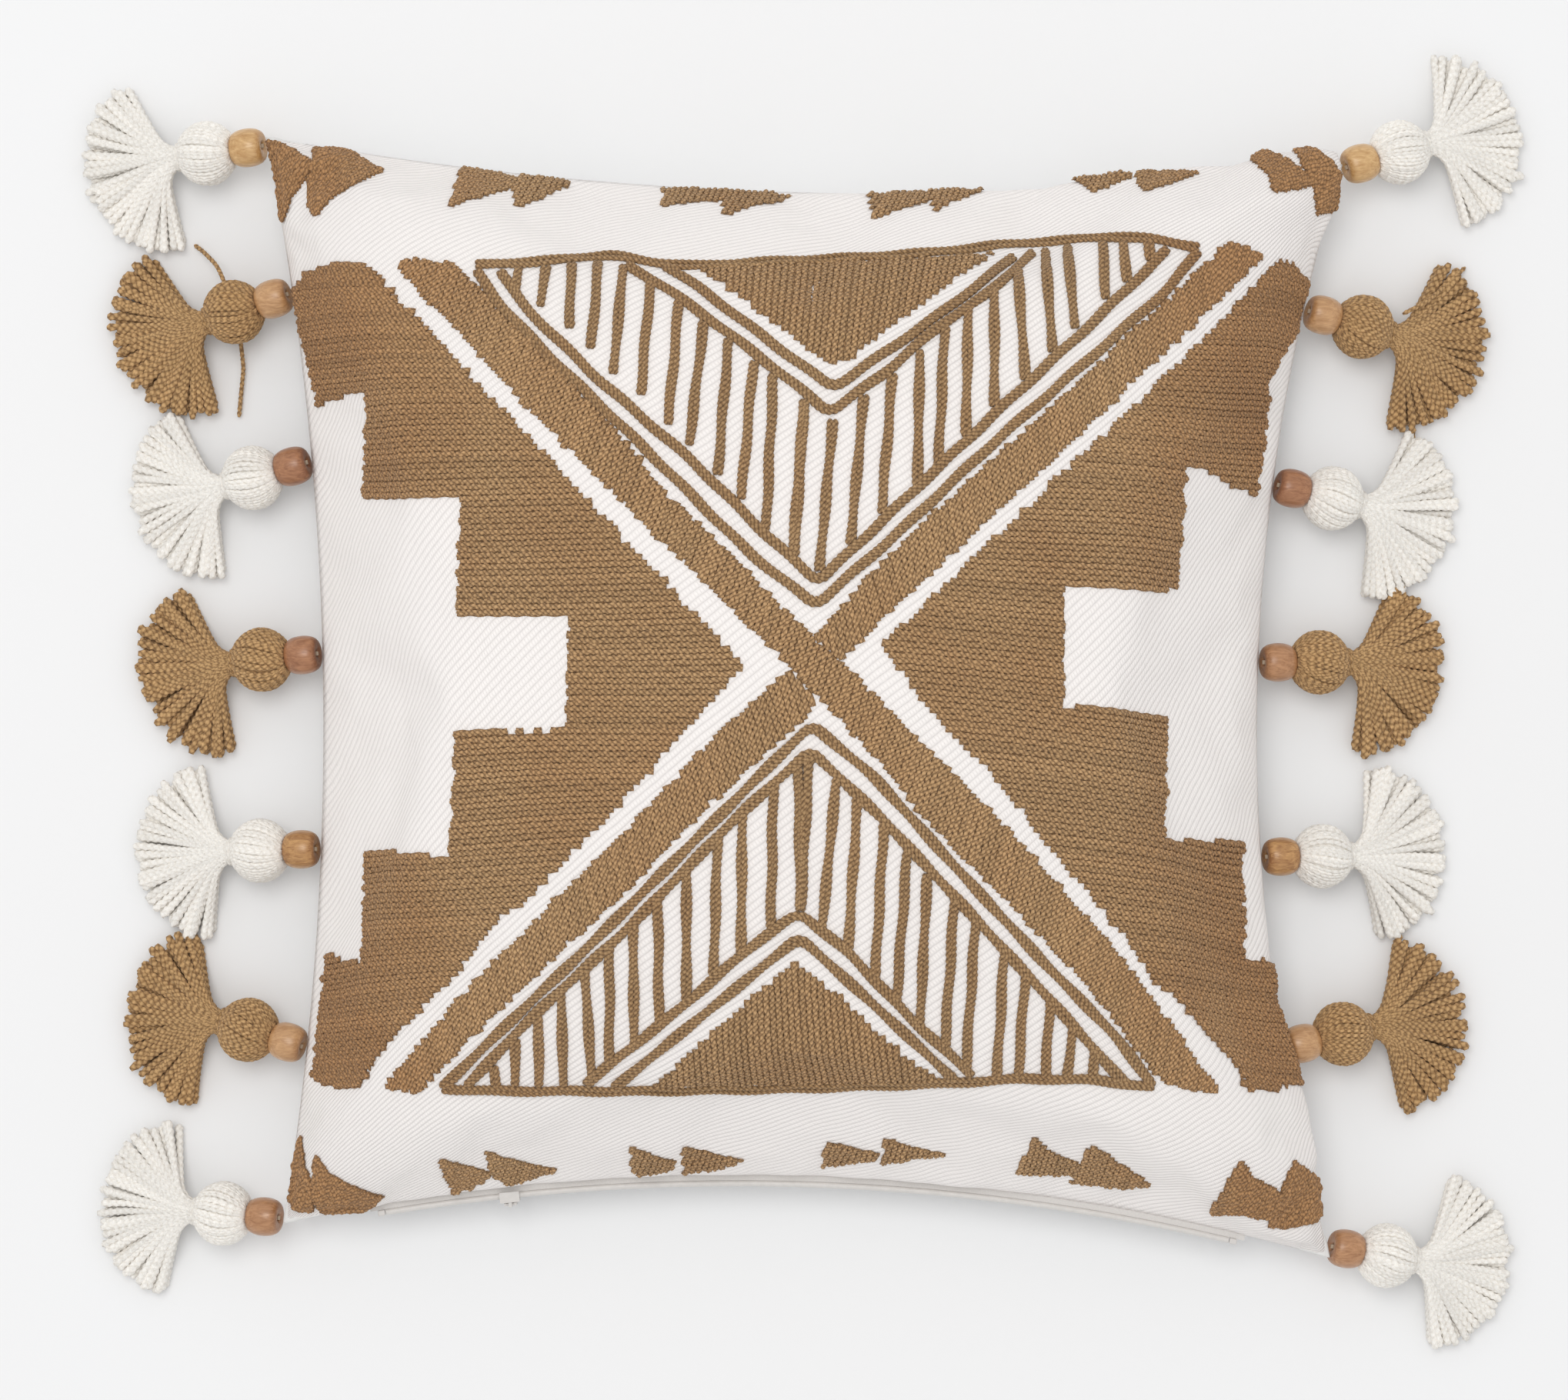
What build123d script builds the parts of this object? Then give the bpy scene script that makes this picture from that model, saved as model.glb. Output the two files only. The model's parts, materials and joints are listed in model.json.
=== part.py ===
from build123d import *
import math
import os

os.makedirs("parts", exist_ok=True)

# A square throw pillow, lying on its back panel with the embroidered face up.
# +X is right, +Y is towards the upper edge, +Z is up, and z = 0 is the rest face.

# ---- driving dimensions, in millimetres and degrees ----
CORNER_TL = (-212.0, 223.0)
CORNER_TR = (222.0, 212.0)
CORNER_BR = (217.0, -229.0)
CORNER_BL = (-205.0, -215.0)
PULL_LEFT = 19.5          # how far each filled side bows in between its corners
PULL_RIGHT = 32.0
PULL_TOP = 17.0
PULL_BOTTOM = 26.0

SEAM_Z = 24.0             # height of the side seam over the rest face
CROWN_RISE = 100.0        # how far the front stands up from the seam
FULLNESS = 0.8            # under 1 makes the flanks rounder
REST_LEVEL = 0.5          # share of the crown at which the back is cut flat
EDGE_ANGLE = 1.351        # radians of the sine that rounds the profile
FABRIC = 1.2              # cover fabric with its lining
SEAM_GAP = 0.35           # half the thickness of the sewn seam
SIDE_POINTS = [-0.97, -0.85, -0.55, 0.0, 0.55, 0.85, 0.97]
FRONT_LEVELS = [0.0, 0.1, 0.28, 0.52, 0.76, 0.93, 0.985]
BACK_LEVELS = [0.0, 0.25, REST_LEVEL]

INSERT_EDGE_IN = 17.0     # the inner pad stops this far inside the cover's seam
INSERT_DROP = 4.0         # and this far under the cover's fabric
INSERT_FABRIC = 0.8
PAD_GAP = 0.3

WOOL_LIFT = 0.2           # the wool starts just over the fabric
WOOL_PILE = 1.8
WOOL_START = 3.4          # no wool lower than this over the seam, to clear the zip slider
BAND_WIDTH = 15.8         # the two bands that cross
LINE_WIDTH = 3.0          # the thin wool lines
PANEL_TOP = 172.0
PANEL_BOTTOM = -160.0

CORD_DIAMETER = 2.0
KNOT_OUT = 2.5            # seam to the knot that the tassel swings on
KNOT_DIAMETER = 1.6
BEAD_GAP = 2.6            # seam to bead
BEAD_LENGTH = 12.5
BEAD_DIAMETER = 15.0
BEAD_BORE = 3.2
BEAD_TO_HEAD = 0.4
HEAD_LENGTH = 21.0
HEAD_DIAMETER = 24.6
NECK_DIAMETER = 9.0
NECK_TIE = 1.2
SKIRT_RADIUS = 36.0
SKIRT_HALF_ANGLE = 58.0
SKIRT_THICKNESS = 7.0
TASSEL_SLOPE = 16.0       # down from the seam, until the skirt meets the floor

ZIP_LENGTH = 340.0
ZIP_OUT = 3.4             # the coil's centre, outside the seam
COIL_DIAMETER = 2.4
TAPE_IN = 6.0
TAPE = 0.3
SLIDER_LENGTH = 8.0
SLIDER_START = -120.0     # distance of the slider from the zip's middle, along the seam
PULL_LENGTH = 16.0
PULL_WIDTH = 5.0
PULL_THICKNESS = 1.0

# side, y of the bead, heading of bead and head, heading of the skirt
TASSELS = [
    ("left", 219.6, 186, 200), ("left", 160.2, 197, 204), ("left", 92.3, 195, 197),
    ("left", 14.9, 186, 198), ("left", -64.1, 182, 184), ("left", -144.4, 164, 182),
    ("left", -213.0, 177, 176),
    ("right", 210.0, 17, 10), ("right", 153.3, -15, -18), ("right", 83.1, -13, -15),
    ("right", 11.1, 0, -16), ("right", -67.3, 0, 5), ("right", -144.4, 12, 0),
    ("right", -224.0, -11, -6),
]


# ---- the cushion's form ----
def bowed_edge(start, end, pull, share):
    """The point at a share of the circular arc from start to end, bowed to its left."""
    chord = math.dist(start, end)
    radius = (chord * chord / 4 + pull * pull) / (2 * pull)
    turn = (2 * share - 1) * math.asin(chord / 2 / radius)
    along = radius * math.sin(turn) + chord / 2
    depth = radius * math.cos(turn) - (radius - pull)
    ux = (end[0] - start[0]) / chord
    uy = (end[1] - start[1]) / chord
    return (start[0] + ux * along - uy * depth, start[1] + uy * along + ux * depth)


def plan_point(across, up):
    """Plan position of a point of the cover, across and up each from 0 to 1."""
    left = bowed_edge(CORNER_TL, CORNER_BL, PULL_LEFT, 1 - up)
    right = bowed_edge(CORNER_BR, CORNER_TR, PULL_RIGHT, up)
    bottom = bowed_edge(CORNER_BL, CORNER_BR, PULL_BOTTOM, across)
    top = bowed_edge(CORNER_TR, CORNER_TL, PULL_TOP, 1 - across)
    place = []
    for i in (0, 1):
        sides = (1 - across) * left[i] + across * right[i]
        ends = (1 - up) * bottom[i] + up * top[i]
        corners = (1 - across) * (1 - up) * CORNER_BL[i] + across * (1 - up) * CORNER_BR[i]
        corners += (1 - across) * up * CORNER_TL[i] + across * up * CORNER_TR[i]
        place.append(sides + ends - corners)
    return place


def rise(reach):
    """Share of the crown left at a reach of -1 to 1 from the middle."""
    low = math.cos(EDGE_ANGLE)
    slope = (reach * math.sin(EDGE_ANGLE)) ** 2
    return (math.sqrt(max(0.0, 1 - slope)) - low) / (1 - low)


def level_point(level, heading):
    """The point, in that heading, where the crown has fallen to the level."""
    dx = math.cos(heading)
    dy = math.sin(heading)
    near = 0.0
    far = 1 / max(abs(dx), abs(dy))
    for _ in range(40):
        middle = (near + far) / 2
        if rise(middle * dx) * rise(middle * dy) > level:
            near = middle
        else:
            far = middle
    return plan_point(0.5 + near * dx / 2, 0.5 + near * dy / 2)


def level_face(level, inset, height):
    """A horizontal section of the cushion, moved in by inset."""
    points = []
    for quarter in range(4):
        for along in SIDE_POINTS:
            x, y = level_point(level, quarter * math.pi / 2 + math.atan(along))
            reach = math.hypot(x, y)
            points.append((x - x / reach * inset, y - y / reach * inset, height))
    return Face(Wire([Edge.make_spline([Vector(*p) for p in points], periodic=True)]))


def front_form(inset, drop):
    """The crowned upper half over the seam's plane."""
    crown = CROWN_RISE - drop
    sections = [
        level_face(level, inset, SEAM_Z + crown * level ** FULLNESS) for level in FRONT_LEVELS
    ]
    return Solid(loft(sections).wrapped)


def back_form(inset, lift):
    """The shallow lower half, flat where it rests."""
    depth = SEAM_Z - lift
    sections = [
        level_face(level, inset, SEAM_Z - depth * level / REST_LEVEL) for level in BACK_LEVELS
    ]
    return Solid(loft(sections).wrapped)


def slab(low, high):
    """A wide horizontal slab from one height to another."""
    return Pos(0, 0, (low + high) / 2) * Box(700, 700, high - low)


def solids_of(shape):
    return [s for s in shape.solids() if s.volume > 0.5]


def cover_panels():
    front = front_form(0, 0) - front_form(1.4 * FABRIC, FABRIC)
    front = front - slab(SEAM_Z - 5, SEAM_Z + SEAM_GAP)
    back = back_form(0, 0) - back_form(1.4 * FABRIC, FABRIC)
    back = back - slab(SEAM_Z - SEAM_GAP, SEAM_Z + 5)
    return front, back


def insert_pad():
    """The inner pad: its sewn fabric case and the filling inside it."""
    outer = front_form(INSERT_EDGE_IN, FABRIC + INSERT_DROP)
    outer = outer + back_form(INSERT_EDGE_IN, FABRIC + PAD_GAP)
    edge = INSERT_EDGE_IN + 1.4 * INSERT_FABRIC
    inner = front_form(edge, FABRIC + INSERT_DROP + INSERT_FABRIC)
    inner = inner + back_form(edge, FABRIC + PAD_GAP + INSERT_FABRIC)
    edge = edge + 0.2
    filling = front_form(edge, FABRIC + INSERT_DROP + INSERT_FABRIC + 0.2)
    filling = filling + back_form(edge, FABRIC + PAD_GAP + INSERT_FABRIC + 0.2)
    return outer - inner, filling


# ---- the seam, and the zip along the lower edge ----
def edge_arc(start, end, pull, first, last, out):
    """Part of a bowed seam, moved out from the cushion."""
    points = []
    for share in (first, (first + last) / 2, last):
        x, y = bowed_edge(start, end, pull, share)
        ax, ay = bowed_edge(start, end, pull, share - 0.001)
        bx, by = bowed_edge(start, end, pull, share + 0.001)
        length = math.hypot(bx - ax, by - ay)
        points.append((x + (by - ay) / length * out, y - (bx - ax) / length * out, SEAM_Z))
    return ThreePointArc(*points)


def seam_strip(start, end, pull, first, last, outer, inner, low, high):
    """A flat strip that follows a bowed seam."""
    outside = edge_arc(start, end, pull, first, last, outer)
    inside = edge_arc(start, end, pull, first, last, -inner)
    wire = Wire([outside.edge(), Line(outside @ 1, inside @ 1).edge(),
                 inside.edge(), Line(inside @ 0, outside @ 0).edge()])
    return Pos(0, 0, low - SEAM_Z) * extrude(Face(wire), high - low, dir=(0, 0, 1))


def seam_stitching():
    """The sewn seam on the three sides that don't open."""
    half = SEAM_GAP - 0.02
    runs = [(CORNER_TL, CORNER_BL, PULL_LEFT), (CORNER_BR, CORNER_TR, PULL_RIGHT),
            (CORNER_TR, CORNER_TL, PULL_TOP)]
    return [
        seam_strip(a, b, pull, 0.04, 0.96, -1.2, 4.0, SEAM_Z - half, SEAM_Z + half)
        for a, b, pull in runs
    ]


def zip_share(distance):
    """Share of the lower seam at a distance along it from its middle."""
    return 0.5 + distance / math.dist(CORNER_BL, CORNER_BR)


def zip_tapes():
    first = zip_share(-ZIP_LENGTH / 2 - 6)
    last = zip_share(ZIP_LENGTH / 2 + 6)
    run = (CORNER_BL, CORNER_BR, PULL_BOTTOM, first, last)
    reach = ZIP_OUT - COIL_DIAMETER / 2 - 0.05
    upper = seam_strip(*run, reach, TAPE_IN, SEAM_Z + 0.02, SEAM_Z + TAPE)
    lower = seam_strip(*run, reach, TAPE_IN, SEAM_Z - TAPE, SEAM_Z - 0.02)
    return upper, lower


def zip_coil():
    first = zip_share(-ZIP_LENGTH / 2)
    last = zip_share(ZIP_LENGTH / 2)
    path = edge_arc(CORNER_BL, CORNER_BR, PULL_BOTTOM, first, last, ZIP_OUT)
    profile = Plane(path @ 0, z_dir=path % 0) * Circle(COIL_DIAMETER / 2)
    return sweep(profile, path=path)


def at_seam(distance, out):
    """A location on the lower seam: local X along it, local Y out from the cushion."""
    arc = edge_arc(CORNER_BL, CORNER_BR, PULL_BOTTOM, zip_share(distance) - 0.01,
                   zip_share(distance) + 0.01, out)
    along = arc % 0.5
    return Location(Plane(arc @ 0.5, x_dir=(-along.X, -along.Y, 0), z_dir=(0, 0, 1)))


def zip_stops():
    stops = []
    for distance in (-ZIP_LENGTH / 2 - 1.7, ZIP_LENGTH / 2 + 1.7):
        stops.append(at_seam(distance, ZIP_OUT) * fillet(Box(3.0, 2.3, 3.2).edges(), 0.5))
    return stops


def zip_slider():
    """Two plates over and under the coil, joined outside it, with a bail for the pull."""
    plate_z = COIL_DIAMETER / 2 + 0.9
    upper = Pos(0, 0.6, plate_z) * Box(SLIDER_LENGTH, 4.2, 1.0)
    lower = Pos(0, 0.6, -plate_z) * Box(SLIDER_LENGTH, 4.2, 1.0)
    bridge = Pos(0, 2.3, 0) * Box(SLIDER_LENGTH, 0.8, 2 * plate_z + 1.0)
    body = fillet((upper + lower + bridge).edges().filter_by(Axis.Z), 0.35)
    bail = Pos(0, 3.6, 0) * (Box(1.4, 2.2, 3.6) - Rot(0, 90, 0) * Cylinder(0.95, 4))
    return at_seam(SLIDER_START, ZIP_OUT) * (body + bail)


def zip_pull():
    """A flat tab that hangs from a pin through the slider's bail."""
    pin = Rot(0, 90, 0) * Cylinder(0.6, PULL_WIDTH)
    arm = Box(0.9, 1.2, 5.0, align=(Align.CENTER, Align.CENTER, Align.MAX))
    arms = Pos(-PULL_WIDTH / 2 + 0.45, 0, 0.6) * arm + Pos(PULL_WIDTH / 2 - 0.45, 0, 0.6) * arm
    tab = Box(PULL_WIDTH, PULL_THICKNESS, PULL_LENGTH - 4,
              align=(Align.CENTER, Align.CENTER, Align.MAX))
    tab = fillet(tab.edges().filter_by(Axis.Y), 0.9)
    return at_seam(SLIDER_START, ZIP_OUT) * Pos(0, 3.6, 0) * (pin + arms + Pos(0, 0, -4) * tab)


# ---- the wool embroidery ----
def prism(*corners):
    """An upright prism over a plan polygon, tall enough to pass the crown."""
    face = Face(Wire.make_polygon([Vector(x, y, SEAM_Z + WOOL_START) for x, y in corners]))
    return extrude(face, CROWN_RISE + 20, dir=(0, 0, 1))


def line_prism(a, b, width):
    """A prism over a straight plan line."""
    length = math.dist(a, b)
    nx = -(b[1] - a[1]) / length * width / 2
    ny = (b[0] - a[0]) / length * width / 2
    return prism((a[0] + nx, a[1] + ny), (b[0] + nx, b[1] + ny),
                 (b[0] - nx, b[1] - ny), (a[0] - nx, a[1] - ny))


def on_line(a, b, y):
    """The point of a plan line at a height y."""
    return (a[0] + (b[0] - a[0]) * (y - a[1]) / (b[1] - a[1]), y)


def cross_bands(skin):
    """Two bands that cross in the middle; the rising one is in two lengths."""
    falling = ((-151.0, PANEL_TOP), (160.0, PANEL_BOTTOM))
    rising = ((173.0, PANEL_TOP), (-156.0, PANEL_BOTTOM))
    over = line_prism(*falling, BAND_WIDTH)
    under = line_prism(*rising, BAND_WIDTH) - line_prism(*falling, BAND_WIDTH + 0.6)
    return solids_of(over & skin) + solids_of(under & skin)


def side_field(skin, side):
    """A wool field beside the cross, with a stepped notch from the cover's edge."""
    if side == "left":
        tip = (-19.0, 9.5)
        upper = (-172.0, PANEL_TOP)
        lower = (-174.0, PANEL_BOTTOM)
        steps = [(123, -171), (76, -135), (30, -91), (-16, -136), (-66, -173)]
        outside = -200.0
        end = -109.0
    else:
        tip = (34.8, 17.4)
        upper = (193.0, PANEL_TOP)
        lower = (196.0, PANEL_BOTTOM)
        steps = [(87, 160), (43, 111), (-9, 152), (-62, 182)]
        outside = 215.0
        end = -109.0
    field = prism(tip, upper, (outside, PANEL_TOP), (outside, PANEL_BOTTOM), lower)
    bounds = [y for y, _ in steps] + [end]
    for (top, reach), low in zip(steps, bounds[1:]):
        field = field - prism((outside * 1.1, top), (reach, top), (reach, low), (outside * 1.1, low))
    return solids_of(field & skin)


def motif(skin, points_up):
    """A hatched triangle: outlines, a solid heart and a row of upright hatch lines."""
    if points_up:
        base = PANEL_BOTTOM
        outline = [(-142.0, base), (8.0, -14.0), (147.0, base)]
        inner = [(-84.0, base), (2.5, -94.0), (92.0, base)]
        heart = [(-57.0, base), (0.6, -109.0), (60.0, base)]
    else:
        base = PANEL_TOP
        outline = [(-128.0, base), (10.0, 34.0), (152.0, base)]
        inner = [(-72.0, base), (16.4, 118.0), (105.0, base)]
        heart = [(-38.0, base), (16.7, 130.0), (80.0, base)]
    shapes = []
    for scale in (1.0, 0.92):
        tip = outline[1]
        ends = [(tip[0] + (x - tip[0]) * scale, y) for x, y in (outline[0], outline[2])]
        lift = (base - tip[1]) * (1 - scale)
        peak = (tip[0], tip[1] + lift)
        shapes.append(line_prism(ends[0], peak, LINE_WIDTH) + line_prism(ends[1], peak, LINE_WIDTH))
    shapes.append(line_prism(inner[0], inner[1], LINE_WIDTH) + line_prism(inner[2], inner[1], LINE_WIDTH))
    shapes.append(prism(*heart))
    hatch = []
    pitch = 10.8
    x = outline[0][0] + 2 * pitch
    while x < outline[2][0] - 2 * pitch:
        leg = outline[0] if x < outline[1][0] else outline[2]
        share = (x - leg[0]) / (outline[1][0] - leg[0])
        tip_y = base + (outline[1][1] - base) * share * 0.92
        stop_y = base
        for foot in (inner[0], inner[2]):
            along = (x - foot[0]) / (inner[1][0] - foot[0])
            if 0 < along <= 1:
                stop_y = base + (inner[1][1] - base) * along
        gap = math.copysign(2.6, base - tip_y)
        if abs(stop_y - tip_y) > 9:
            hatch.append(line_prism((x, tip_y + gap * 1.6), (x, stop_y - gap), LINE_WIDTH))
        x += pitch
    found = []
    for shape in shapes + hatch:
        found += solids_of(shape & skin)
    return found


def border_row(skin, middle, height, starts, width):
    """A row of wool sawteeth that all point to the right."""
    teeth = []
    for x in starts:
        for half in (1, -1):
            y = middle + half * height / 4
            teeth += solids_of(
                prism((x, y + height / 4 - 0.3), (x, y - height / 4 + 0.3), (x + width, y)) & skin
            )
    return teeth


# ---- tassels ----
def tassel_seat(side, bead_y, heading):
    """Where a tassel leaves the seam: a frame with local X along the tassel."""
    if side == "left":
        edge = (CORNER_TL, CORNER_BL, PULL_LEFT)
    else:
        edge = (CORNER_TR, CORNER_BR, -PULL_RIGHT)
    low = 0.0
    high = 1.0
    for _ in range(40):
        share = (low + high) / 2
        if edge_height(edge, share) > bead_y:
            low = share
        else:
            high = share
    x, y = mirrored_edge(edge, share)
    yaw = math.radians(heading)
    tilt = math.radians(TASSEL_SLOPE)
    along = (math.cos(yaw) * math.cos(tilt), math.sin(yaw) * math.cos(tilt), -math.sin(tilt))
    up = (math.cos(yaw) * math.sin(tilt), math.sin(yaw) * math.sin(tilt), math.cos(tilt))
    return Plane((x, y, SEAM_Z), x_dir=along, z_dir=up)


def mirrored_edge(edge, share):
    """A point of a side seam from its upper corner down, on either side."""
    start, end, pull = edge
    if pull > 0:
        return bowed_edge(start, end, pull, share)
    return bowed_edge(end, start, -pull, 1 - share)


def edge_height(edge, share):
    return mirrored_edge(edge, share)[1]


def tassel_cord():
    """The cord through the bead, with the small round knot that it hangs from."""
    length = BEAD_GAP + BEAD_LENGTH + BEAD_TO_HEAD + 2.0 - KNOT_OUT
    knot = Rot(90, 0, 0) * Cylinder(KNOT_DIAMETER / 2, KNOT_DIAMETER)
    cord = Rot(0, 90, 0) * Cylinder(
        CORD_DIAMETER / 2 - 0.1, length, align=(Align.CENTER, Align.CENTER, Align.MIN))
    return Pos(KNOT_OUT, 0, 0) * (knot + cord)


def tassel_bead():
    """A barrel-shaped wooden bead, bored along its axis."""
    half = BEAD_LENGTH / 2
    radius = BEAD_DIAMETER / 2
    shoulder = radius * 0.6
    side = Spline((-half, shoulder), (-half * 0.62, radius * 0.92), (0, radius),
                  (half * 0.62, radius * 0.92), (half, shoulder))
    bore = BEAD_BORE / 2
    outline = [side.edge(), Line((half, shoulder), (half, bore)).edge(),
               Line((half, bore), (-half, bore)).edge(), Line((-half, bore), (-half, shoulder)).edge()]
    bead = revolve(Face(Wire(outline)), Axis.X)
    return Pos(BEAD_GAP + half, 0, 0) * bead


def tassel_yarn(turn):
    """The yarn bundle with its round head and fanned skirt, and the tie round its neck."""
    start = BEAD_GAP + BEAD_LENGTH + BEAD_TO_HEAD
    neck = start + HEAD_LENGTH
    top = 3.4
    neck_radius = NECK_DIAMETER / 2
    widest = (start + HEAD_LENGTH * 0.48, HEAD_DIAMETER / 2)
    crown = ThreePointArc((start, top), widest, (neck, neck_radius))
    outline = [crown.edge(), Line((neck, neck_radius), (neck + 4, neck_radius)).edge(),
               Line((neck + 4, neck_radius), (neck + 4, 0)).edge(), Line((neck + 4, 0), (start, 0)).edge(),
               Line((start, 0), (start, top)).edge()]
    head = revolve(Face(Wire(outline)), Axis.X)
    head = head - Pos(start - 1, 0, 0) * Rot(0, 90, 0) * Cylinder(
        CORD_DIAMETER / 2, 3.0, align=(Align.CENTER, Align.CENTER, Align.MIN))
    middle = math.radians(turn)
    half = math.radians(SKIRT_HALF_ANGLE)
    rays = [(middle + half * side) for side in (-1, 0, 1)]
    outer = [(SKIRT_RADIUS * math.cos(a), SKIRT_RADIUS * math.sin(a)) for a in rays]
    inner = [(3.0 * math.cos(a), 3.0 * math.sin(a)) for a in rays]
    fan = Face(Wire([ThreePointArc(*outer).edge(), Line(outer[2], inner[2]).edge(),
                     ThreePointArc(*reversed(inner)).edge(), Line(inner[0], outer[0]).edge()]))
    skirt = extrude(fan, SKIRT_THICKNESS / 2, both=True)
    skirt = fillet(skirt.edges().filter_by(Axis.Z), 2.0)
    tie = Cylinder(neck_radius + NECK_TIE, 2.0) - Cylinder(neck_radius, 2.0)
    return [head + Pos(neck + 1.2, 0, 0) * skirt, Pos(neck + 1.1, 0, 0) * Rot(0, 90, 0) * tie]


def save(name, shape):
    """Write one node, joined in one compound if it has several solids."""
    solids = solids_of(Compound(children=list(shape))) if isinstance(shape, (list, tuple)) else shape.solids()
    export_step(solids[0] if len(solids) == 1 else Compound(children=list(solids)), "parts/" + name + ".step")
    return solids


front_panel, back_panel = cover_panels()
save("front_panel", front_panel)
save("back_panel", back_panel)
insert_cover, insert_filling = insert_pad()
save("insert_cover", insert_cover)
save("insert_filling", insert_filling)
save("seam_stitching", seam_stitching())
upper_tape, lower_tape = zip_tapes()
save("zip_tape_upper", upper_tape)
save("zip_tape_lower", lower_tape)
save("zip_coil", zip_coil())
save("zip_stops", zip_stops())
save("zip_slider", zip_slider())
save("zip_pull", zip_pull())

wool_skin = front_form(-1.4 * (WOOL_LIFT + WOOL_PILE), -(WOOL_LIFT + WOOL_PILE)) - front_form(
    -1.4 * WOOL_LIFT, -WOOL_LIFT)
save("cross_bands", cross_bands(wool_skin))
save("side_field_left", side_field(wool_skin, "left"))
save("side_field_right", side_field(wool_skin, "right"))
save("motif_upper", motif(wool_skin, False))
save("motif_lower", motif(wool_skin, True))
save("border_row_top", border_row(wool_skin, 199.0, 17.0, [-200, -134, -50, 33, 114, 185], 44))
save("border_row_bottom", border_row(wool_skin, -195.0, 13.0, [-190, -142, -64, 15, 94, 170], 44))

for side in ("left", "right"):
    number = 0
    for place, bead_y, heading, skirt_heading in TASSELS:
        if place != side:
            continue
        number += 1
        seat = tassel_seat(place, bead_y, heading)
        name = "tassel_" + side + "_" + str(number)
        save(name + "_cord", Location(seat) * tassel_cord())
        save(name + "_bead", Location(seat) * tassel_bead())
        save(name + "_yarn", [Location(seat) * piece for piece in tassel_yarn(skirt_heading - heading)])
        print(name, [round(v, 3) for v in seat.origin], heading)
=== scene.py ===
import bpy
import json
import math
import random
import numpy as np
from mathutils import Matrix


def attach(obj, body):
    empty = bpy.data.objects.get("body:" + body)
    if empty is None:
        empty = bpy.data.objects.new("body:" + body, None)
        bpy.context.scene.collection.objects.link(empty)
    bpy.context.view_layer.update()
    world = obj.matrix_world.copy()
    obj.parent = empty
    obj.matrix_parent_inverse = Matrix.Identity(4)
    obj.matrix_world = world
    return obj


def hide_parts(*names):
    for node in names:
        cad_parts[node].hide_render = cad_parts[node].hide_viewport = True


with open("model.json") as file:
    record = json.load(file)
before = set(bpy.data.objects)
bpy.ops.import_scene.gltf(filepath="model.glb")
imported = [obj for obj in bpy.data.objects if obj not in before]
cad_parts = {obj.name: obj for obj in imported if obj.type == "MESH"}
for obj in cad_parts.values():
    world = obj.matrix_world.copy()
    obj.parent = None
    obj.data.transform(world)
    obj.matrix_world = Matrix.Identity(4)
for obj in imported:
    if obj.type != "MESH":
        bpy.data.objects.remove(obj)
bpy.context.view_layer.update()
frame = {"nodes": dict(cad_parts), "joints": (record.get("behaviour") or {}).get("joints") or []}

mm = 0.001
rng = np.random.default_rng(18)

cameraSettings = {
    "height": 2.3,          # over the table
    "viewWidth": 0.632,     # what the frame covers across, at the seam
    "seamZ": 0.024,
    "centre": (-0.0032, -0.0041),
    "sensor": 36.0,
}


def makeCamera(s):
    data = bpy.data.cameras.new("photoCamera")
    data.sensor_width = s["sensor"]
    data.lens = s["sensor"] * (s["height"] - s["seamZ"]) / s["viewWidth"]
    data.clip_start = 0.05
    camera = bpy.data.objects.new("photoCamera", data)
    camera.location = (s["centre"][0], s["centre"][1], s["height"])
    bpy.context.scene.collection.objects.link(camera)
    bpy.context.scene.camera = camera


makeCamera(cameraSettings)
print("camera ready")


def meshPiece(name, points, quads, material, uvs=None, values=None, ends=()):
    mesh = bpy.data.meshes.new(name)
    points = np.asarray(points, np.float32)
    quads = np.asarray(quads, np.int32)
    loops = [quads.ravel()] + [np.asarray(e, np.int32) for e in ends]
    sizes = [4] * len(quads) + [len(e) for e in ends]
    flat = np.concatenate(loops)
    mesh.vertices.add(len(points))
    mesh.vertices.foreach_set("co", points.ravel())
    mesh.loops.add(len(flat))
    mesh.loops.foreach_set("vertex_index", flat)
    starts = np.concatenate([[0], np.cumsum(sizes)[:-1]]).astype(np.int32)
    mesh.polygons.add(len(sizes))
    mesh.polygons.foreach_set("loop_start", starts)
    mesh.update(calc_edges=True)
    mesh.shade_smooth()
    if uvs is not None:
        layer = mesh.uv_layers.new(name="cloth")
        layer.uv.foreach_set("vector", np.asarray(uvs, np.float32)[flat].ravel())
    for key, value in (values or {}).items():
        attribute = mesh.attributes.new(key, "FLOAT", "POINT")
        attribute.data.foreach_set("value", np.asarray(value, np.float32))
    mesh.materials.append(material)
    piece = bpy.data.objects.new(name, mesh)
    bpy.context.scene.collection.objects.link(piece)
    return piece


def newGroup(name, inputs, outputs):
    group = bpy.data.node_groups.new(name, "ShaderNodeTree")
    for label, kind, value in inputs:
        socket = group.interface.new_socket(label, in_out="INPUT", socket_type="NodeSocket" + kind)
        socket.default_value = value
    for label, kind in outputs:
        group.interface.new_socket(label, in_out="OUTPUT", socket_type="NodeSocket" + kind)
    return group, group.nodes.new("NodeGroupInput").outputs, group.nodes.new("NodeGroupOutput").inputs


def addNode(tree, kind, values=None, **settings):
    node = tree.nodes.new("ShaderNode" + kind)
    for key, value in settings.items():
        setattr(node, key, value)
    for key, value in (values or {}).items():
        if isinstance(value, bpy.types.NodeSocket):
            tree.links.new(value, node.inputs[key])
        else:
            node.inputs[key].default_value = value
    return node


def mathNode(tree, operation, first, second=0.0):
    return addNode(tree, "Math", {0: first, 1: second}, operation=operation).outputs[0]


def times(tree, first, second):
    return mathNode(tree, "MULTIPLY", first, second)


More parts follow.
